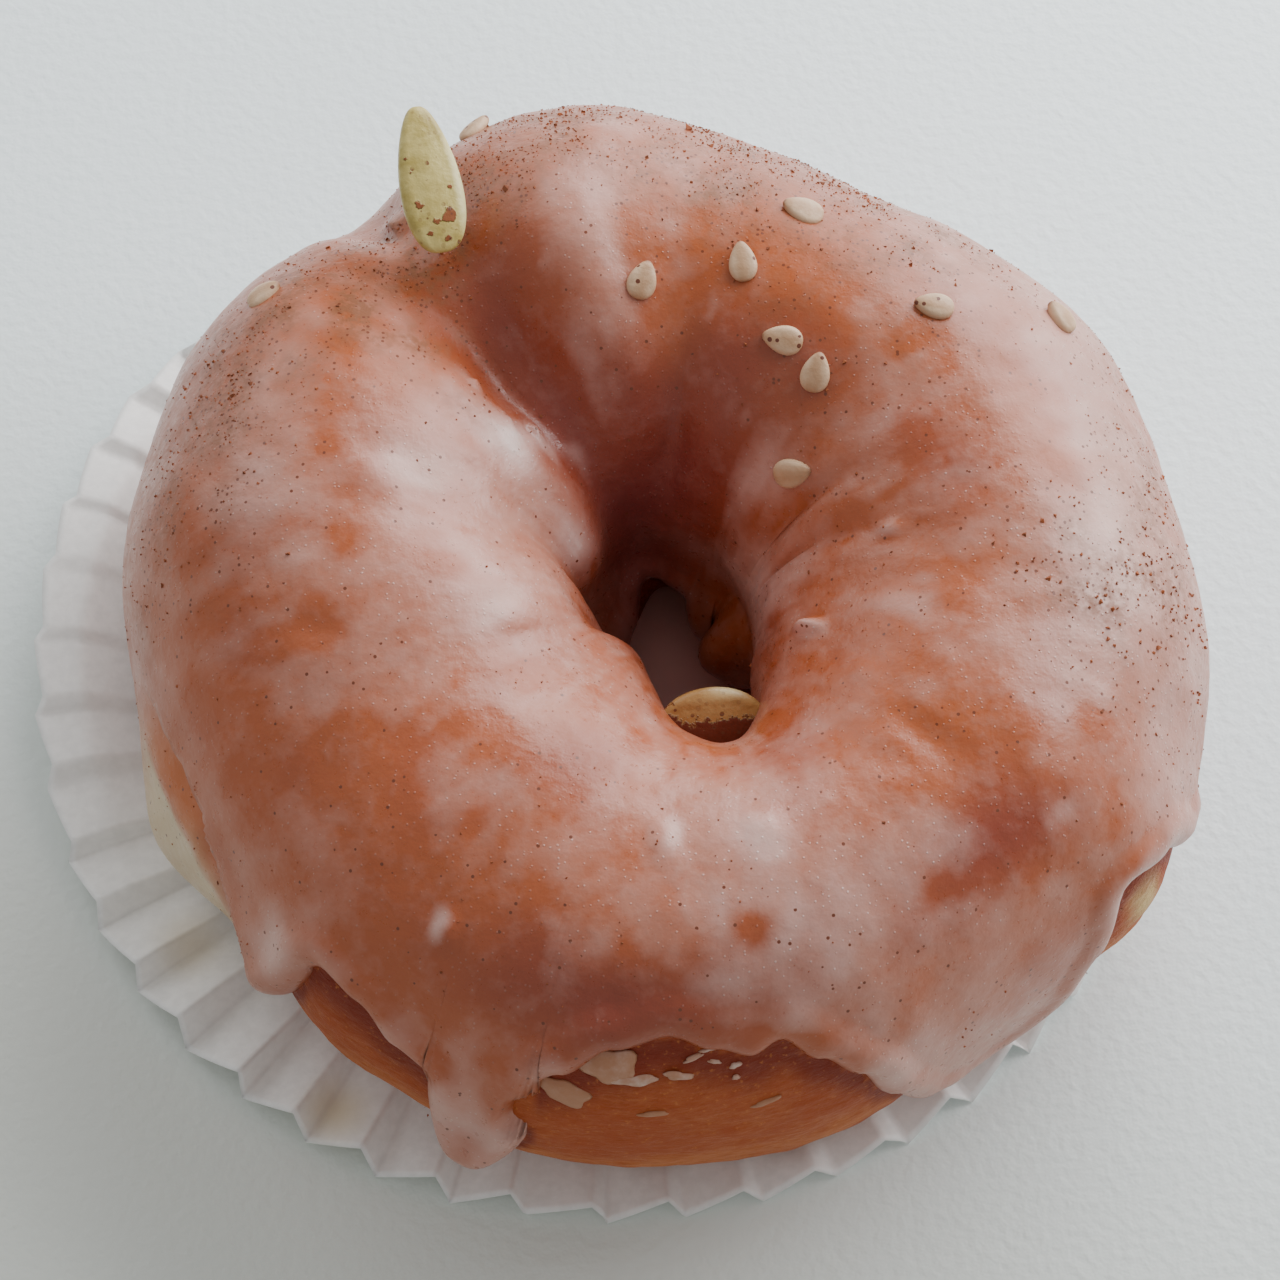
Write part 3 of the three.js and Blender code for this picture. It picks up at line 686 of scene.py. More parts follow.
def new_piece(name, corners, faces, smooth=True):
    """Object at the origin from corners in millimetres and faces given by their corners."""
    mesh = bpy.data.meshes.new(name)
    mesh.from_pydata((np.asarray(corners) * MM).tolist(), [], [list(face) for face in faces])
    mesh.validate()
    mesh.polygons.foreach_set("use_smooth", np.full(len(mesh.polygons), smooth))
    mesh.update()
    piece = bpy.data.objects.new(name, mesh)
    bpy.context.scene.collection.objects.link(piece)
    return piece


def band_faces(rows, columns, close_rows):
    """Quads of a grid whose columns close into a ring, and its rows too if asked."""
    r = np.arange(rows if close_rows else rows - 1)[:, None]
    c = np.arange(columns)[None, :]
    r2, c2 = (r + 1) % rows, (c + 1) % columns
    quads = [r * columns + c, r * columns + c2, r2 * columns + c2, r2 * columns + c]
    return np.stack(np.broadcast_arrays(*quads), -1).reshape(-1, 4)


def capped(grid, ends=None):
    """Corners and faces of a closed skin: the grid's rows, and one corner at each end as a pole.

    The poles lie in the middle of the first and the last row unless they are given.
    """
    rows, columns = grid.shape[:2]
    if ends is None:
        ends = np.stack([grid[0].mean(0), grid[-1].mean(0)])
    corners = np.concatenate([grid.reshape(-1, 3), ends])
    low, high = rows * columns, rows * columns + 1
    c = np.arange(columns)
    c2 = (c + 1) % columns
    last = (rows - 1) * columns
    first_fan = np.stack([np.full(columns, low), c2, c], -1)
    last_fan = np.stack([np.full(columns, high), last + c, last + c2], -1)
    faces = band_faces(rows, columns, False).tolist() + first_fan.tolist() + last_fan.tolist()
    return corners, faces


def seed_skin(grid):
    """Corners and faces of a seed whose first and last rows have all their places at its poles."""
    return capped(grid[1:-1], grid[[0, -1], 0])


def joined(skins):
    """Corners and faces of several skins as one."""
    starts = np.cumsum([0] + [len(corners) for corners, _ in skins]).tolist()
    faces = [[i + start for i in face] for start, (_, part) in zip(starts, skins) for face in part]
    return np.concatenate([corners for corners, _ in skins]), faces


def point_values(piece, name, values):
    """Stores one number for each corner of the piece."""
    store = piece.data.attributes.new(name, "FLOAT", "POINT")
    store.data.foreach_set("value", np.ascontiguousarray(values, np.float32).ravel())


def finished(piece, slot, material, *nodes):
    """Gives a piece its material and the root body, and hides the solids that it stands for. The
    slot is not used.
    """
    piece.data.materials.append(material)
    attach(piece, "root")
    if nodes:
        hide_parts(*nodes)


# Shader building

def feed(tree, socket, value):
    """Sets a socket, or links another node's output to it."""
    if isinstance(value, bpy.types.NodeSocket):
        tree.links.new(value, socket)
    else:
        socket.default_value = value


def put(tree, kind, inputs=None, **settings):
    """Adds a shader node with its settings and inputs."""
    made = tree.nodes.new("ShaderNode" + kind)
    for name, value in settings.items():
        setattr(made, name, value)
    for key, value in (inputs or {}).items():
        feed(tree, made.inputs[key], value)
    return made


def calc(tree, operation, *values):
    """Result of a Math node."""
    made = put(tree, "Math", operation=operation)
    for socket, value in zip(made.inputs, values):
        feed(tree, socket, value)
    return made.outputs[0]


def stretched(tree, value, low, high, new_low=0.0, new_high=1.0):
    """The value moved smoothly from one range to another and held at its ends."""
    made = put(tree, "MapRange", interpolation_type="SMOOTHSTEP")
    for key, part in enumerate((value, low, high, new_low, new_high)):
        feed(tree, made.inputs[key], part)
    return made.outputs[0]


def speckle(tree, where, scale, detail=2.0, rough=0.5):
    """Noise value at that many waves per metre."""
    inputs = {"Vector": where, "Scale": scale, "Detail": detail, "Roughness": rough}
    return put(tree, "TexNoise", inputs).outputs[0]


def swayed(tree, noise, size, value):
    """The value moved up and down by a noise times the size."""
    return calc(tree, "MULTIPLY_ADD", calc(tree, "SUBTRACT", noise, 0.5), size, value)


def reading(tree, name):
    """A stored number of the piece."""
    return put(tree, "Attribute", attribute_name=name).outputs["Fac"]


def dots(tree, group, where, scale, amount):
    """Outputs of a group of dots that is put in a tree: its mask and height."""
    inputs = {"Vector": where, "Scale": scale, "Amount": amount}
    made = tree.nodes.new("ShaderNodeGroup")
    made.node_tree = group
    for key, value in inputs.items():
        feed(tree, made.inputs[key], value)
    return made.outputs


def dots_group(name, scale, amount, dot):
    """Shader group: dots in a share of a Voronoi pattern's cells, as a mask and as a height."""
    group = bpy.data.node_groups.new(name, "ShaderNodeTree")
    group.interface.new_socket("Vector", in_out="INPUT", socket_type="NodeSocketVector")
    for label, default in (("Scale", scale), ("Amount", amount)):
        socket = group.interface.new_socket(
            label, in_out="INPUT", socket_type="NodeSocketFloat",
        )
        socket.default_value = default
    for label in ("Mask", "Height"):
        group.interface.new_socket(label, in_out="OUTPUT", socket_type="NodeSocketFloat")
    given = group.nodes.new("NodeGroupInput").outputs
    cells = put(group, "TexVoronoi", {"Vector": given["Vector"], "Scale": given["Scale"]})
    drawn = put(group, "SeparateColor", {"Color": cells.outputs["Color"]}).outputs[0]
    here = calc(group, "LESS_THAN", drawn, given["Amount"])
    mask = calc(group, "MULTIPLY", here, dot(group, cells.outputs["Distance"], drawn))
    for socket in group.nodes.new("NodeGroupOutput").inputs[:2]:
        feed(group, socket, mask)
    return group


def soft_dot(group, distance, _drawn):
    """Dot with a soft rim, as of a sugar crystal."""
    return stretched(group, distance, 0.1, 0.24, 1.0, 0.0)


def speck_dot(group, distance, drawn):
    """Sharp dot, smaller where the cell's draw is higher, as of cinnamon too fine to model."""
    return calc(group, "LESS_THAN", distance, stretched(group, drawn, 0.0, 0.6, 0.34, 0.16))


def shared_group(name, *settings):
    """A group of dots that is built once."""
    return bpy.data.node_groups.get(name) or dots_group(name, *settings)


def sugar_group():
    """Sugar crystals on the glaze."""
    return shared_group("Sugar grain", 1100.0, 0.4, soft_dot)


def dust_group():
    """Specks of the finest cinnamon."""
    return shared_group("Cinnamon dust", 900.0, 0.5, speck_dot)


def new_material(name):
    """Material with a Principled BSDF and the Object coordinates to paint by."""
    material = bpy.data.materials.new(name)
    material.use_nodes = True
    tree = material.node_tree
    shader = tree.nodes["Principled BSDF"]
    where = put(tree, "TexCoord").outputs["Object"]
    return material, tree, shader, where


def bumped(tree, shader, *layers):
    """Feeds the shader's normal from bumps laid on each other: (height, distance in metres)."""
    normal = None
    for height, distance in layers:
        inputs = {"Height": height, "Distance": distance, "Strength": 1.0}
        if normal is not None:
            inputs["Normal"] = normal
        normal = put(tree, "Bump", inputs).outputs[0]
    feed(tree, shader.inputs["Normal"], normal)


def painted(tree, shader, colour, *layers):
    """Feeds the base colour from a first colour and layers over it: (share, colour)."""
    tone = (*colour, 1.0)
    for share, colour in layers:
        inputs = {0: share, 6: tone, 7: (*colour, 1.0)}
        tone = put(tree, "Mix", inputs, data_type="RGBA").outputs[2]
    feed(tree, shader.inputs["Base Color"], tone)


def translucent(shader, weight, radius):
    """Slight scattering below the surface: its weight and each colour's reach in metres."""
    shader.inputs["Subsurface Weight"].default_value = weight
    shader.inputs["Subsurface Radius"].default_value = radius
    shader.inputs["Subsurface Scale"].default_value = 1.0


def glaze_material(sizes):
    """Translucent sugar glaze: crust colours under a milky film, with granules and soft gloss, and
    painted shade in the dark layer low in the hole and in part of the red and powder layers.
    """
    material, tree, shader, where = new_material("Milky glaze")
    clouds = speckle(tree, where, 330.0, 4.0, 0.6)
    fine = speckle(tree, where, 1100.0, 3.0, 0.6)
    dust, dull = reading(tree, "dust"), reading(tree, "dull")
    spread = swayed(tree, fine, 0.2, swayed(tree, clouds, 0.4, reading(tree, "milk")))
    film = calc(tree, "MAXIMUM", calc(tree, "MINIMUM", spread, 1.0), 0.0)
    sugar = dots(tree, sugar_group(), where, 1900.0, 0.45)
    glint = calc(tree, "MULTIPLY", sugar["Mask"], stretched(tree, film, 0.0, 0.6, 0.07, 0.36))
    powder = calc(tree, "MULTIPLY", dust, stretched(tree, fine, 0.35, 0.65, 0.25, 0.7))
    many = calc(tree, "MULTIPLY_ADD", dust, 0.22, 0.02)
    specks = dots(tree, dust_group(), where, 2300.0, many)
    painted(
        tree, shader, sizes.crust_colour,
        # Partly redder crust, partly painted shade in the valley and low in the hole
        (reading(tree, "red"), sizes.red_and_shade_colour),
        (film, sizes.milk_colour),
        # Painted shade low on the far wall of the hole
        (reading(tree, "hole_shade"), sizes.hole_shade_colour),
        (stretched(tree, spread, 0.8, 1.25), sizes.white_colour),
        (reading(tree, "apron"), sizes.apron_colour),
        (reading(tree, "slit"), sizes.slit_colour),
        (glint, sizes.white_colour),
        # Partly fine cinnamon, partly painted shade on the back-left shoulder
        (powder, sizes.dust_and_shade_colour),
        (specks["Mask"], sizes.speck_colour),
    )
    feed(tree, shader.inputs["Roughness"], stretched(tree, fine, 0.3, 0.7, 0.27, 0.42))
    feed(tree, shader.inputs["Specular IOR Level"], stretched(tree, dull, 0.0, 1.0, 0.5, 0.1))
    translucent(shader, 0.12, (0.0022, 0.0011, 0.0008))
    bumped(tree, shader, (clouds, 0.00016), (fine, 0.00003), (sugar["Height"], 0.00003))
    return material


def flake_material(sizes):
    """Flakes of dried glaze: beige, and white where thick."""
    material, tree, shader, where = new_material("Dried glaze")
    mottle = speckle(tree, where, 900.0, 3.0, 0.6)
    share = stretched(tree, swayed(tree, mottle, 0.8, reading(tree, "white")), 0.0, 1.0)
    painted(tree, shader, sizes.flake_colour, (share, sizes.white_colour))
    shader.inputs["Roughness"].default_value = 0.4
    bumped(tree, shader, (mottle, 0.0001))
    return material


def dough_material(sizes):
    """Fried dough: fibrous brown crust, redder under the glaze's rim and low in the hole, partly
    redder crust and partly painted shade, with a paler belly line.
    """
    material, tree, shader, where = new_material("Fried dough")
    stretch = put(tree, "Mapping", {"Vector": where, "Scale": (1.0, 1.0, 2.8)}).outputs[0]
    fibres = speckle(tree, stretch, 700.0, 5.0, 0.65)
    blots = speckle(tree, where, 180.0, 3.0, 0.55)
    pores = speckle(tree, where, 1900.0, 2.0, 0.6)
    share = swayed(tree, blots, 0.5, swayed(tree, fibres, 0.9, reading(tree, "brown")))
    painted(
        tree, shader, sizes.pale_colour,
        (stretched(tree, share, 0.0, 1.0), sizes.brown_colour),
        (reading(tree, "red"), sizes.red_and_shade_colour),
        (stretched(tree, pores, 0.6, 0.74, 0.0, 0.5), sizes.pale_colour),
        (reading(tree, "crumb"), sizes.crumb_colour),
    )
    feed(tree, shader.inputs["Roughness"], stretched(tree, fibres, 0.3, 0.7, 0.55, 0.72))
    translucent(shader, 0.06, (0.002, 0.0009, 0.0005))
    shader.inputs["Specular IOR Level"].default_value = 0.35
    bumped(tree, shader, (blots, 0.0003), (fibres, 0.0004), (pores, 0.00012))
    return material


def pepita_material(name, body, streak, rim, stain):
    """Hulled pumpkin seed: waxy body, a pale rim that is partly painted highlight on its lit edge,
    and cinnamon stuck to it; on the seed in the hole that dark layer is painted shade instead.
    """
    material, tree, shader, where = new_material(name)
    stuck = reading(tree, "stuck")
    streaks = speckle(tree, where, 420.0, 4.0, 0.6)
    fine = speckle(tree, where, 1700.0, 3.0, 0.6)
    specks = dots(tree, dust_group(), where, 1500.0, 0.3)
    clump_and_shade = stretched(tree, swayed(tree, fine, 1.6, stuck), 0.45, 0.75)
    thin = calc(tree, "MULTIPLY", specks["Mask"], stretched(tree, stuck, 0.0, 0.3, 0.25, 0.9))
    painted(
        tree, shader, body,
        (stretched(tree, streaks, 0.35, 0.65), streak),
        (reading(tree, "rim"), rim),
        (clump_and_shade, stain),
        (thin, PEPITA_SPECKS),
    )
    feed(tree, shader.inputs["Roughness"], stretched(tree, clump_and_shade, 0.0, 1.0, 0.38, 0.8))
    bumped(tree, shader, (streaks, 0.00012), (fine, 0.00006), (clump_and_shade, 0.00012))
    return material


def sesame_material(sizes):
    """Sesame seed: cream hull with a browner face, darker tip and a few specks."""
    material, tree, shader, where = new_material("Sesame hull")
    mottle = speckle(tree, where, 900.0, 4.0, 0.6)
    share = stretched(tree, swayed(tree, mottle, 1.0, reading(tree, "face")), 0.2, 0.9)
    specks = dots(tree, dust_group(), where, 1600.0, 0.12)
    painted(
        tree, shader, sizes.sesame_colour,
        (share, sizes.sesame_face),
        (reading(tree, "tip"), SESAME_TIP),
        (specks["Mask"], SESAME_SPECKS),
    )
    feed(tree, shader.inputs["Roughness"], stretched(tree, mottle, 0.3, 0.7, 0.4, 0.58))
    bumped(tree, shader, (mottle, 0.00012))
    return material


def cinnamon_material(sizes):
    """Ground cinnamon: dark orange-brown grains of uneven colour."""
    material, tree, shader, where = new_material("Ground cinnamon")
    uneven = stretched(tree, speckle(tree, where, 900.0, 2.0), 0.35, 0.65)
    dark = tuple(part * 0.5 for part in sizes.cinnamon_colour)
    painted(tree, shader, sizes.cinnamon_colour, (uneven, dark))
    shader.inputs["Roughness"].default_value = 0.85
    return material


def paper_material(sizes):
    """Greaseproof paper: white with fine fibres, a brown band near the dough that is grease and
    painted shadow of the doughnut, and sugar stains.
    """
    material, tree, shader, where = new_material("Pleated paper")
    fibres = speckle(tree, where, 900.0, 4.0, 0.6)
    cloudy = speckle(tree, where, 120.0, 2.0)
    # Browner near the dough's foot: grease soaked in, and painted shadow of the doughnut
    grease_and_shadow = swayed(tree, cloudy, 0.8, reading(tree, "grease"))
    painted(
        tree, shader, sizes.paper_colour,
        (stretched(tree, fibres, 0.3, 0.7), sizes.paper_shade),
        (stretched(tree, grease_and_shadow, 0.25, 0.9, 0.0, 0.75), sizes.grease_and_shadow_colour),
        (reading(tree, "stain"), sizes.stain_colour),
        (reading(tree, "rosy"), sizes.rosy_colour),
    )
    feed(tree, shader.inputs["Roughness"], stretched(tree, grease_and_shadow, 0.2, 0.9, 0.62, 0.42))
    translucent(shader, 0.08, (0.001, 0.001, 0.001))
    bumped(tree, shader, (fibres, 0.00003), (cloudy, 0.0002))
    return material


def floor_material(sizes):
    """Pale table top with a fine pebbled surface, with painted shade making it darker and greyer
    towards the front and left, where less window light falls.
    """
    material, tree, shader, where = new_material("Pale table top")
    pebbles = speckle(tree, where, 900.0, 2.0, 0.5)
    x, y, _ = put(tree, "SeparateXYZ", {"Vector": where}).outputs
    # Painted shade: darker and greyer towards the front and left
    nearer_shade = calc(tree, "MULTIPLY_ADD", x, -0.5, calc(tree, "MULTIPLY", y, -1.0))
    share = stretched(tree, nearer_shade, -0.03, 0.07)
    painted(tree, shader, sizes.floor_colour, (share, sizes.front_shade_colour))
    shader.inputs["Roughness"].default_value = 0.42
    bumped(tree, shader, (pebbles, 0.00012))
    return material


# Settings that a user may change

def length_setting(name, text, default, low, high):
    """Length setting in millimetres."""
    return FloatProperty(name=name, description=text, default=default, min=low, max=high)


def colour_setting(name, text, red, green, blue):
    """Colour setting from 0 to 255 screen values."""
    return FloatVectorProperty(
        name=name, description=text, default=paint(red, green, blue), size=3, min=0, max=1,
        subtype="COLOR",
    )


class DoughSettings(bpy.types.PropertyGroup):
    """Colours of the dough"""

    pale_colour: colour_setting("Pale crumb", "Colour of the paler belly line", 204, 124, 62)
    brown_colour: colour_setting("Brown crust", "Colour of the fried crust", 168, 74, 24)
    crumb_colour: colour_setting("Crumb", "Colour of the torn crumb on the right", 216, 182, 124)
    # Partly red crust, partly painted shade under the glaze's rim and low in the hole
    red_and_shade_colour: colour_setting("Red crust", "Colour under the rim of the glaze", 122, 34, 10)


class GlazeSettings(bpy.types.PropertyGroup):
    """Depth and colours of the glaze"""

    depth: length_setting("Depth", "Depth of the glaze in millimetres", 1.45, 0.4, 3.0)
    bead: length_setting("Bead", "Extra depth along its edges in millimetres", 0.5, 0.0, 2.0)
    milk_colour: colour_setting("Milky glaze", "Colour where the glaze is thick", 216, 180, 170)
    white_colour: colour_setting("White glaze", "Colour of the whitest places", 234, 216, 208)
    crust_colour: colour_setting("Crust", "Orange crust seen through thin glaze", 168, 86, 48)
    # Partly red crust, partly painted shade in the valley and low in the hole
    red_and_shade_colour: colour_setting("Red crust", "Red crust seen through thin glaze", 128, 52, 40)
    # This colour is painted shade low on the far wall of the hole
    hole_shade_colour: colour_setting("Deep glaze", "Wet dark glaze low in the hole", 122, 60, 60)
    apron_colour: colour_setting("Pooled glaze", "Creamy glaze run down", 205, 181, 146)
    slit_colour: colour_setting("Slit", "Bare crust in the slit", 180, 88, 14)
    flake_colour: colour_setting("Flakes", "Colour of the dried flakes", 170, 116, 82)
    # Also painted shade on the back-left shoulder
    dust_and_shade_colour: colour_setting("Powder", "Cinnamon too fine to see as grains", 134, 82, 54)
    speck_colour: colour_setting("Specks", "Smallest cinnamon specks", 112, 58, 36)


class ToppingSettings(bpy.types.PropertyGroup):
    """Sizes and colours of the toppings"""

    sesame_length: length_setting("Sesame length", "Length in millimetres", 3.5, 2.0, 5.0)
    sesame_width: length_setting("Sesame width", "Width in millimetres", 2.4, 1.0, 4.0)
    sesame_thickness: length_setting("Sesame thickness", "Thickness in millimetres", 1.3, 0.5, 2.0)
    grain_size: length_setting("Cinnamon grain", "Mean grain in millimetres", 0.078, 0.03, 1.0)
    grains: IntProperty(
        name="Grain draws", description="Draws for the grains", default=140000, min=0,
    )
    sesame_colour: colour_setting("Sesame hull", "Colour of a seed's rim", 206, 172, 138)
    sesame_face: colour_setting("Sesame face", "Colour of a seed's face", 186, 146, 110)
    cinnamon_colour: colour_setting("Cinnamon", "Colour of the grains", 158, 84, 44)
    pepita_streak: colour_setting("Pepita streaks", "Streaks of the pumpkin seeds", 172, 152, 78)
    pepita_colour: colour_setting("Pepita", "Green of the pumpkin seeds", 205, 187, 114)


class PaperSettings(bpy.types.PropertyGroup):
    """Size and colours of the paper case"""

    thickness: length_setting("Thickness", "Thickness of the paper in millimetres", 0.16, 0.05, 0.4)
    paper_colour: colour_setting("Paper", "Colour of the paper", 250, 249, 245)
    paper_shade: colour_setting("Fibre", "Colour of its darker fibres", 240, 239, 235)
    # Also painted shadow of the doughnut on the paper near its foot
    grease_and_shadow_colour: colour_setting("Grease", "Colour where grease soaks in", 166, 142, 128)
    stain_colour: colour_setting("Sugar stain", "Colour of dried glaze on the paper", 216, 200, 166)
    rosy_colour: colour_setting("Soaked paper", "Colour of the paper below the hole", 250, 176, 164)


class StageSettings(bpy.types.PropertyGroup):
    """Floor and light"""

    floor_colour: colour_setting("Table top", "Colour of the floor", 243, 254, 255)
    # Painted shade of the table towards the front and left
    front_shade_colour: colour_setting("Table front", "Colour towards the front", 222, 226, 218)
    window_power: FloatProperty(
        name="Window", description="Power of the soft main light in watts", default=4.35, min=0,
        unit="POWER",
    )
    sky_strength: FloatProperty(
        name="Sky", description="Strength of the light from all round", default=0.52, min=0,
    )


SETTINGS = {
    "doughnut_dough": DoughSettings,
    "doughnut_glaze": GlazeSettings,
    "doughnut_toppings": ToppingSettings,
    "doughnut_paper": PaperSettings,
    "doughnut_stage": StageSettings,
}


# Operators

class DOUGHNUT_OT_dough(bpy.types.Operator):
    """Adds the ring of fried dough"""

    bl_idname = "doughnut.dough"
    bl_label = "Dough"

    def execute(self, context):
        around = np.linspace(0, 360, DOUGH_COLUMNS, endpoint=False)[None, :]
        over = np.linspace(-90, 270, DOUGH_ROWS, endpoint=False)[:, None]
        points = dough(around, over)
        points = points + normal_of(dough, around, over) * crust_height(points, over)[..., None]
        points[..., 2] = np.maximum(points[..., 2], 0.4)
        faces = band_faces(DOUGH_ROWS, DOUGH_COLUMNS, True)
        piece = new_piece("dough_ring", points.reshape(-1, 3), faces)
        height = points[..., 2]
        brown = 0.85 - 0.35 * hump(height - 13, 7) + 0.1 * cloud(points, 6.0, 41)
        edge = edge_over(around)
        # Darker red under the glaze's overhanging rim and low in the hole: partly redder crust,
        # partly painted shade
        under_rim = hump(np.clip(edge - over, 0, 90) - 4, 14) * (over < edge)
        red = np.clip(0.9 * under_rim + 0.9 * eased(over + 0 * around, 150, 200), 0, 1)
        torn = hump_at(around, over, *TORN_CRUST_PLACE)
        crumb = torn * (0.9 + 0.5 * cloud(points, 0.9, 43))
        point_values(piece, "brown", np.clip(brown, 0, 1))
        point_values(piece, "red", red)
        point_values(piece, "crumb", np.clip(crumb, 0, 1))
        finished(piece, "dough", dough_material(context.scene.doughnut_dough), "dough")
        return {"FINISHED"}


class DOUGHNUT_OT_glaze(bpy.types.Operator):
    """Adds the glaze with its drips, beads and creases"""

    bl_idname = "doughnut.glaze"
    bl_label = "Glaze"

    def execute(self, context):
        around = glaze_columns()
        low, high = edge_over(around), value_around(HOLE_EDGE, around)
        over = glaze_rows(low, high)
        base = dough(around, over)
        inside = np.minimum(
            edge_distance(base, base[0], EDGE_REACH),
            edge_distance(base, base[-1], HOLE_EDGE_REACH),
        )
        top = glaze(around, over, inside)
        back = np.linspace(1, 0, GLAZE_HIDDEN_ROWS)[:, None]
        below_over = low + (high - low) * back
        below = dough(around, below_over) - GLAZE_SINK * normal_of(dough, around, below_over)
        grid = np.concatenate([top, below])
        faces = band_faces(len(grid), len(around), True)
        piece = new_piece("glaze_coat", grid.reshape(-1, 3), faces)
        # The red places are partly redder crust, partly painted shade in the valley and the hole
        red = sum_places(RED_AND_SHADE_PLACES, around, over) + 0.2 * cloud(base, 5.0, 42)
        for name, values, hidden in (
            ("milk", milkiness(base, around, over, inside), 0.5),
            ("red", np.clip(red, 0, 1), 0.0),
            # The dark share low in the hole is painted shade
            ("hole_shade", hole_shade_share(base, around, over), 0.0),
            ("dull", np.clip(dull_and_shade_share(around, over), 0, 1), 0.0),
            ("dust", dust_and_shade_share(base, around, over), 0.0),
            ("slit", bare_slit(around, over), 0.0),
            ("apron", apron(around, over), 0.0),
        ):
            point_values(piece, name, np.concatenate([values, np.full(below.shape[:2], hidden)]))
        finished(piece, "glaze", glaze_material(context.scene.doughnut_glaze), "glaze")
        return {"FINISHED"}


class DOUGHNUT_OT_flakes(bpy.types.Operator):
    """Adds the flakes of dried glaze on the bare crust at the front"""

    bl_idname = "doughnut.flakes"
    bl_label = "Glaze flakes"

    def execute(self, context):
        draws = np.random.default_rng(91)
        skins, whites = [], []
        turned_round = np.linspace(0, 2 * np.pi, FLAKE_COLUMNS, endpoint=False)[None, :]
        for around, over, half, wide, turn, white in FLAKES:
            t = np.linspace(0.12, np.pi - 0.12, FLAKE_ROWS)[:, None]
            wavy = 1 + sum(0.11 * np.sin(n * turned_round + draws.uniform(0, 6)) for n in (2, 3, 5))
            x = half * np.sin(t) * np.cos(turned_round) * wavy
            y = wide * np.sin(t) * np.sin(turned_round) * wavy
            tilt = math.radians(turn)
            along = x * math.cos(tilt) - y * math.sin(tilt)
            up = x * math.sin(tilt) + y * math.cos(tilt)
            reach = np.hypot(*dough(around, over)[:2])
            places = (around + np.degrees(along / reach), over + up / 0.33)
            lift = 0.05 - 0.22 * np.cos(t) + 0.05 * cloud(np.stack([x, y, 0 * x], -1), 0.5, 92)
            grid = dough(*places) + normal_of(dough, *places) * lift[..., None]
            skins.append(capped(grid))
            whites.append(np.full(len(skins[-1][0]), white))
        piece = new_piece("glaze_flakes", *joined(skins))
        point_values(piece, "white", np.concatenate(whites))
        finished(piece, "glaze", flake_material(context.scene.doughnut_glaze))
        return {"FINISHED"}


class DOUGHNUT_OT_sesame(bpy.types.Operator):
    """Adds the sesame seeds stuck in the glaze"""

    bl_idname = "doughnut.sesame"
    bl_label = "Sesame seeds"

    def execute(self, context):
        sizes = context.scene.doughnut_toppings
        draws = np.random.default_rng(61)
        skins, faces_of, tips = [], [], []
        for around, over, turn, sink in SESAME:
            span = np.array([sizes.sesame_length, sizes.sesame_width, sizes.sesame_thickness])
            span = span * draws.uniform(0.93, 1.07, 3)
            grid = seed_grid(span, SESAME_POINT, SESAME_COLUMNS, SESAME_ROWS, SESAME_RIM)
            face = normal_of(glaze, around, over)
            centre = glaze(around, over) + face * (span[2] / 2 - sink - SEED_REST)
            face = unit(face + np.array(SEED_TILT))
            along = np.array([math.cos(math.radians(turn)), math.sin(math.radians(turn)), 0])
            along = along - face * along.dot(face)
            skins.append(seed_skin(placed(grid, centre, along, face)))
            local = seed_skin(grid)[0] / (span / 2)
            faces_of.append(0.8 - 0.7 * eased(np.abs(local[:, 1]), 0.1, 0.9))
            tips.append(eased(local[:, 0], 0.8, 1.0) * 0.7)
        piece = new_piece("sesame_seeds", *joined(skins))
        point_values(piece, "face", np.concatenate(faces_of))
        point_values(piece, "tip", np.concatenate(tips))
        finished(piece, "pepita", sesame_material(sizes), "glaze")
        return {"FINISHED"}


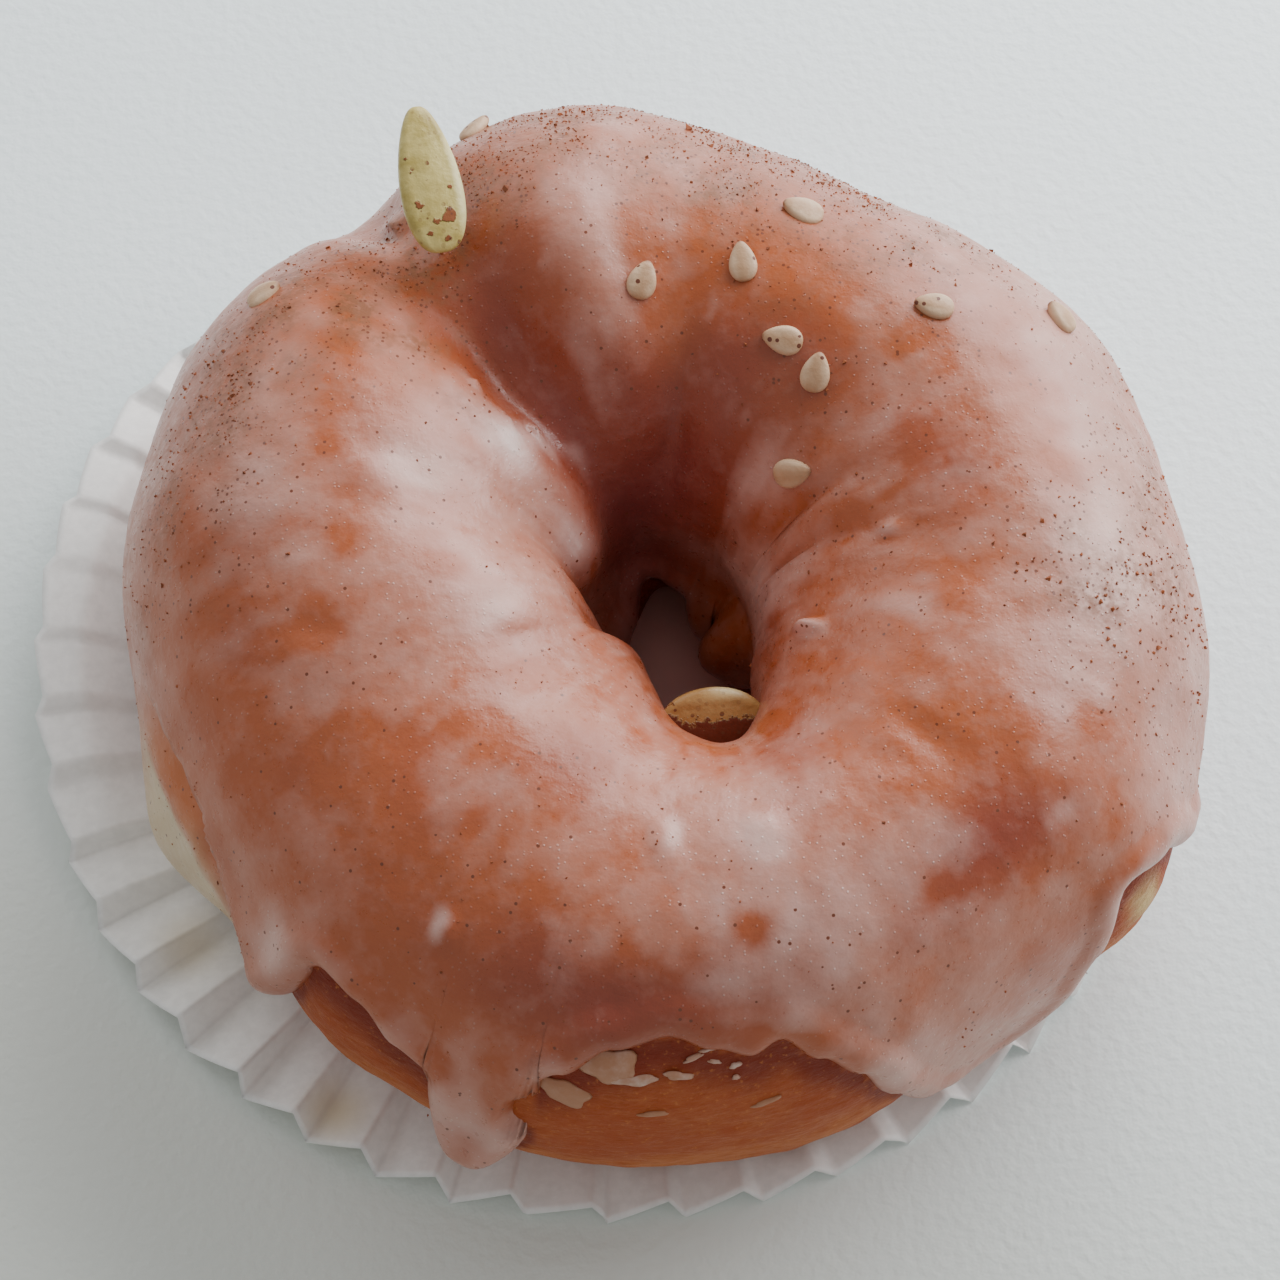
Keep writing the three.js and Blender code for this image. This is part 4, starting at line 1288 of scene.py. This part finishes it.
class DOUGHNUT_OT_pepitas(bpy.types.Operator):
    """Adds the two pumpkin seeds"""

    bl_idname = "doughnut.pepitas"
    bl_label = "Pepitas"

    def execute(self, context):
        sizes = context.scene.doughnut_toppings
        foot, tip = np.array(STANDING_FOOT), np.array(STANDING_TIP)
        corners, faces, local = pepita_form(
            STANDING_SIZE, STANDING_POINT, STANDING_BLUNT,
            (foot + tip) / 2, tip - foot, STANDING_FACE,
        )
        piece = new_piece("standing_pepita", corners, faces)
        # Paler along its right-hand edge, which faces the window: painted highlight as well as the
        # seed's pale rim
        point_values(piece, "rim", eased(-local[:, 1], 0.55, 0.95))
        half_size = np.array(STANDING_SIZE[:2]) / 2
        stuck = sum(
            1.1 * hump(np.linalg.norm((local[:, :2] - (x, y)) * half_size, axis=-1), reach)
            for x, y, reach in PEPITA_CLUMPS
        )
        stuck = stuck + 0.45 * cloud(corners, 0.5, 62) - 0.1
        point_values(piece, "stuck", np.clip(stuck, 0, 1))
        green = pepita_material(
            "Pepita green", sizes.pepita_colour, sizes.pepita_streak, PEPITA_LIT_RIM, PEPITA_STAIN,
        )
        finished(piece, "pepita", green, "pepita_standing")

        corners, faces, local = pepita_form(
            HOLE_PEPITA_SIZE, HOLE_PEPITA_POINT, HOLE_PEPITA_BLUNT,
            HOLE_PEPITA_CENTRE, HOLE_PEPITA_ALONG, HOLE_PEPITA_FACE,
        )
        piece = new_piece("hole_pepita", corners, faces)
        # Paler along the right part of its top edge, which faces the window: painted highlight as
        # well as the seed's pale rim
        point_values(piece, "rim", eased(local[:, 1], 0.6, 0.95) * eased(local[:, 0], -0.2, 0.4))
        # Darker red-brown along its lower edge and left end: painted shade under the near lip of
        # the hole and where it sinks into the glaze
        stuck = eased(-local[:, 1], -0.55, 0.2) + 0.6 * eased(-local[:, 0], 0.4, 0.9)
        point_values(piece, "stuck", np.clip(stuck, 0, 1))
        gold = pepita_material("Pepita gold", GOLD_BODY, GOLD_STREAK, GOLD_LIT_RIM, GOLD_SHADE)
        finished(piece, "pepita", gold, "pepita_hole")
        return {"FINISHED"}


class DOUGHNUT_OT_cinnamon(bpy.types.Operator):
    """Scatters the ground cinnamon over the glaze"""

    bl_idname = "doughnut.cinnamon"
    bl_label = "Cinnamon"

    def execute(self, context):
        sizes = context.scene.doughnut_toppings
        draws = np.random.default_rng(71)
        many = sizes.grains
        around, over = draws.uniform(0, 360, many), draws.uniform(*CINNAMON_SPAN, many)
        base = rope(around, over)
        radius = np.hypot(base[:, 0], base[:, 1])
        strip = math.radians(CINNAMON_SPAN[1] - CINNAMON_SPAN[0]) * ROPE_HALF_WIDTH
        area = math.radians(360) * radius.mean() * strip / 100
        wanted = CINNAMON_EVERYWHERE + sum_places(CINNAMON_FALLS, around, over)
        wanted = wanted * np.clip(1 + 1.1 * cloud(base, 3.0, 72) + 0.7 * cloud(base, 1.2, 73), 0, 4)
        keep = draws.uniform(0, 1, many) < wanted * area / many * radius / radius.mean()
        keep &= over > edge_over(around) + 3
        around, over = around[keep], over[keep]
        centre = glaze(around, over)
        count = len(centre)
        size = sizes.grain_size * np.exp(draws.normal(0, 0.38, count))
        size = size * (1 + 0.5 * hump(turned(around - 352), 24))
        spikes = np.stack([np.eye(3), -np.eye(3)], 1).reshape(6, 3)
        shape = spikes[None] * draws.uniform(0.6, 1.5, (count, 6, 1))
        shape = shape + draws.normal(0, 0.22, (count, 6, 3))
        turn = np.linalg.qr(draws.normal(size=(count, 3, 3)))[0]
        turn = turn * np.sign(np.linalg.det(turn))[:, None, None]
        corners = centre[:, None] + (shape @ turn) * size[:, None, None]
        upper = [[0, 2, 4], [2, 1, 4], [1, 3, 4], [3, 0, 4]]
        eight = np.array(upper + [[second, first, 5] for first, second, _ in upper])
        faces = (np.arange(count)[:, None, None] * 6 + eight[None]).reshape(-1, 3)
        piece = new_piece("cinnamon_grains", corners.reshape(-1, 3), faces, smooth=False)
        finished(piece, "dough", cinnamon_material(sizes))
        return {"FINISHED"}


class DOUGHNUT_OT_paper(bpy.types.Operator):
    """Adds the pleated paper case"""

    bl_idname = "doughnut.paper"
    bl_label = "Paper case"

    def execute(self, context):
        sizes = context.scene.doughnut_paper
        pleat, step = np.divmod(np.arange(PAPER_FLUTES * PAPER_STEPS), PAPER_STEPS)
        crest = np.random.default_rng(52).uniform(0.7, 0.86, PAPER_FLUTES)[pleat]
        share = step / PAPER_STEPS
        rise = share * crest / CREST_SHARE
        fall = 1 - (1 - share) * (1 - crest) / (1 - CREST_SHARE)
        place = np.where(share < CREST_SHARE, rise, fall)
        own = ((pleat + place) * 360 / PAPER_FLUTES)[None, :]
        outer_rings = np.linspace(PAPER_FLAT_RADIUS, PAPER_RADIUS, PAPER_RINGS)
        radius = np.concatenate([PAPER_INNER_RINGS, outer_rings])[:, None]
        wave = fold_wave(pleat, share)
        tuck = 1 - PAPER_TUCK / PAPER_RADIUS * hump(turned(own - 112), 40)
        rim = 1 - 0.012 * (wave + 1) * eased(radius, 40, PAPER_RADIUS)
        x = radius * tuck * rim * np.cos(np.radians(own)) + PAPER_CENTRE[0]
        y = radius * tuck * rim * np.sin(np.radians(own)) + PAPER_CENTRE[1]
        lower = np.stack([x, y, paper_lift(x, y, own, wave) + PAPER_GAP], -1)
        upper = lower + np.array([0, 0, sizes.thickness])
        corners, faces = capped(np.concatenate([lower, upper[::-1]]))
        piece = new_piece("paper_skirt", corners, faces)
        stain = sum(
            most * hump(np.hypot(x - at_x, y - at_y), reach)
            for at_x, at_y, reach, most in PAPER_STAINS
        )
        # The grease share near the dough's foot is grease and painted shadow of the doughnut
        for name, values, middle in (
            ("grease", 1 - eased(beyond_foot(x, y), 0.0, 9.0), 1.0),
            ("stain", np.clip(stain, 0, 1), 0.0),
            ("rosy", 1 - eased(np.hypot(x - 3, y + 2), 12, 22), 1.0),
        ):
            both = np.concatenate([values, values[::-1]]).ravel()
            point_values(piece, name, np.concatenate([both, [middle, middle]]))
        finished(piece, "paper", paper_material(sizes), "paper_case")
        return {"FINISHED"}


def aim_at(thing, place, target):
    """Puts a light or camera in place, looking at the target, both in millimetres."""
    place, target = Vector(place) * MM, Vector(target) * MM
    thing.location = place
    thing.rotation_euler = (target - place).to_track_quat("-Z", "Y").to_euler()


class DOUGHNUT_OT_stage(bpy.types.Operator):
    """Adds the table top, the lights and the camera"""

    bl_idname = "doughnut.stage"
    bl_label = "Stage"

    def execute(self, context):
        sizes = context.scene.doughnut_stage
        scene = context.scene
        corners = [
            (x * FLOOR_HALF_WIDTH, y * FLOOR_HALF_WIDTH, FLOOR_HEIGHT)
            for x, y in ((-1, -1), (1, -1), (1, 1), (-1, 1))
        ]
        floor = new_piece("table_top", corners, [(0, 1, 2, 3)])
        floor.data.materials.append(floor_material(sizes))

        for name, share, width, height, place in WINDOWS:
            window = bpy.data.lights.new(name, "AREA")
            window.shape, window.size, window.size_y = "RECTANGLE", width, height
            window.energy, window.color = share * sizes.window_power, WINDOW_COLOUR
            lamp = bpy.data.objects.new(name, window)
            scene.collection.objects.link(lamp)
            aim_at(lamp, place, WINDOW_AIM)

        world = bpy.data.worlds.new("soft sky")
        world.use_nodes = True
        sky = world.node_tree.nodes["Background"]
        sky.inputs["Color"].default_value = SKY_COLOUR
        sky.inputs["Strength"].default_value = sizes.sky_strength
        scene.world = world

        lens = bpy.data.cameras.new("camera")
        lens.sensor_width = SENSOR_WIDTH
        lens.lens = SENSOR_WIDTH * FOCAL_PIXELS / PICTURE_PIXELS
        lens.clip_start = CLIP_START
        camera = bpy.data.objects.new("camera", lens)
        scene.collection.objects.link(camera)
        high = math.radians(CAMERA_ELEVATION)
        aim = np.array(CAMERA_AIM)
        place = aim + CAMERA_DISTANCE * np.array([0, -math.cos(high), math.sin(high)])
        aim_at(camera, place.tolist(), aim.tolist())
        scene.camera = camera
        return {"FINISHED"}


OPERATORS = [
    DOUGHNUT_OT_dough, DOUGHNUT_OT_glaze, DOUGHNUT_OT_flakes, DOUGHNUT_OT_sesame,
    DOUGHNUT_OT_pepitas, DOUGHNUT_OT_cinnamon, DOUGHNUT_OT_paper, DOUGHNUT_OT_stage,
]


class DOUGHNUT_PT_panel(bpy.types.Panel):
    """Lists the doughnut's pieces and settings"""

    bl_label = "Doughnut"
    bl_space_type = "VIEW_3D"
    bl_region_type = "UI"
    bl_category = "Doughnut"

    def draw(self, context):
        for operator in OPERATORS:
            self.layout.operator(operator.bl_idname)
        for name, group in SETTINGS.items():
            box = self.layout.box()
            for key in group.__annotations__:
                box.prop(getattr(context.scene, name), key)


CLASSES = [*SETTINGS.values(), *OPERATORS, DOUGHNUT_PT_panel]


def register():
    """Adds the classes and the scene's settings."""
    for each in CLASSES:
        bpy.utils.register_class(each)
    for name, group in SETTINGS.items():
        setattr(bpy.types.Scene, name, PointerProperty(type=group))


def unregister():
    """Takes the settings and classes away again."""
    for name in SETTINGS:
        delattr(bpy.types.Scene, name)
    for each in reversed(CLASSES):
        bpy.utils.unregister_class(each)


def main():
    register()
    for operator in OPERATORS:
        group, action = operator.bl_idname.split(".")
        getattr(getattr(bpy.ops, group), action)()


if __name__ == "__main__":
    main()
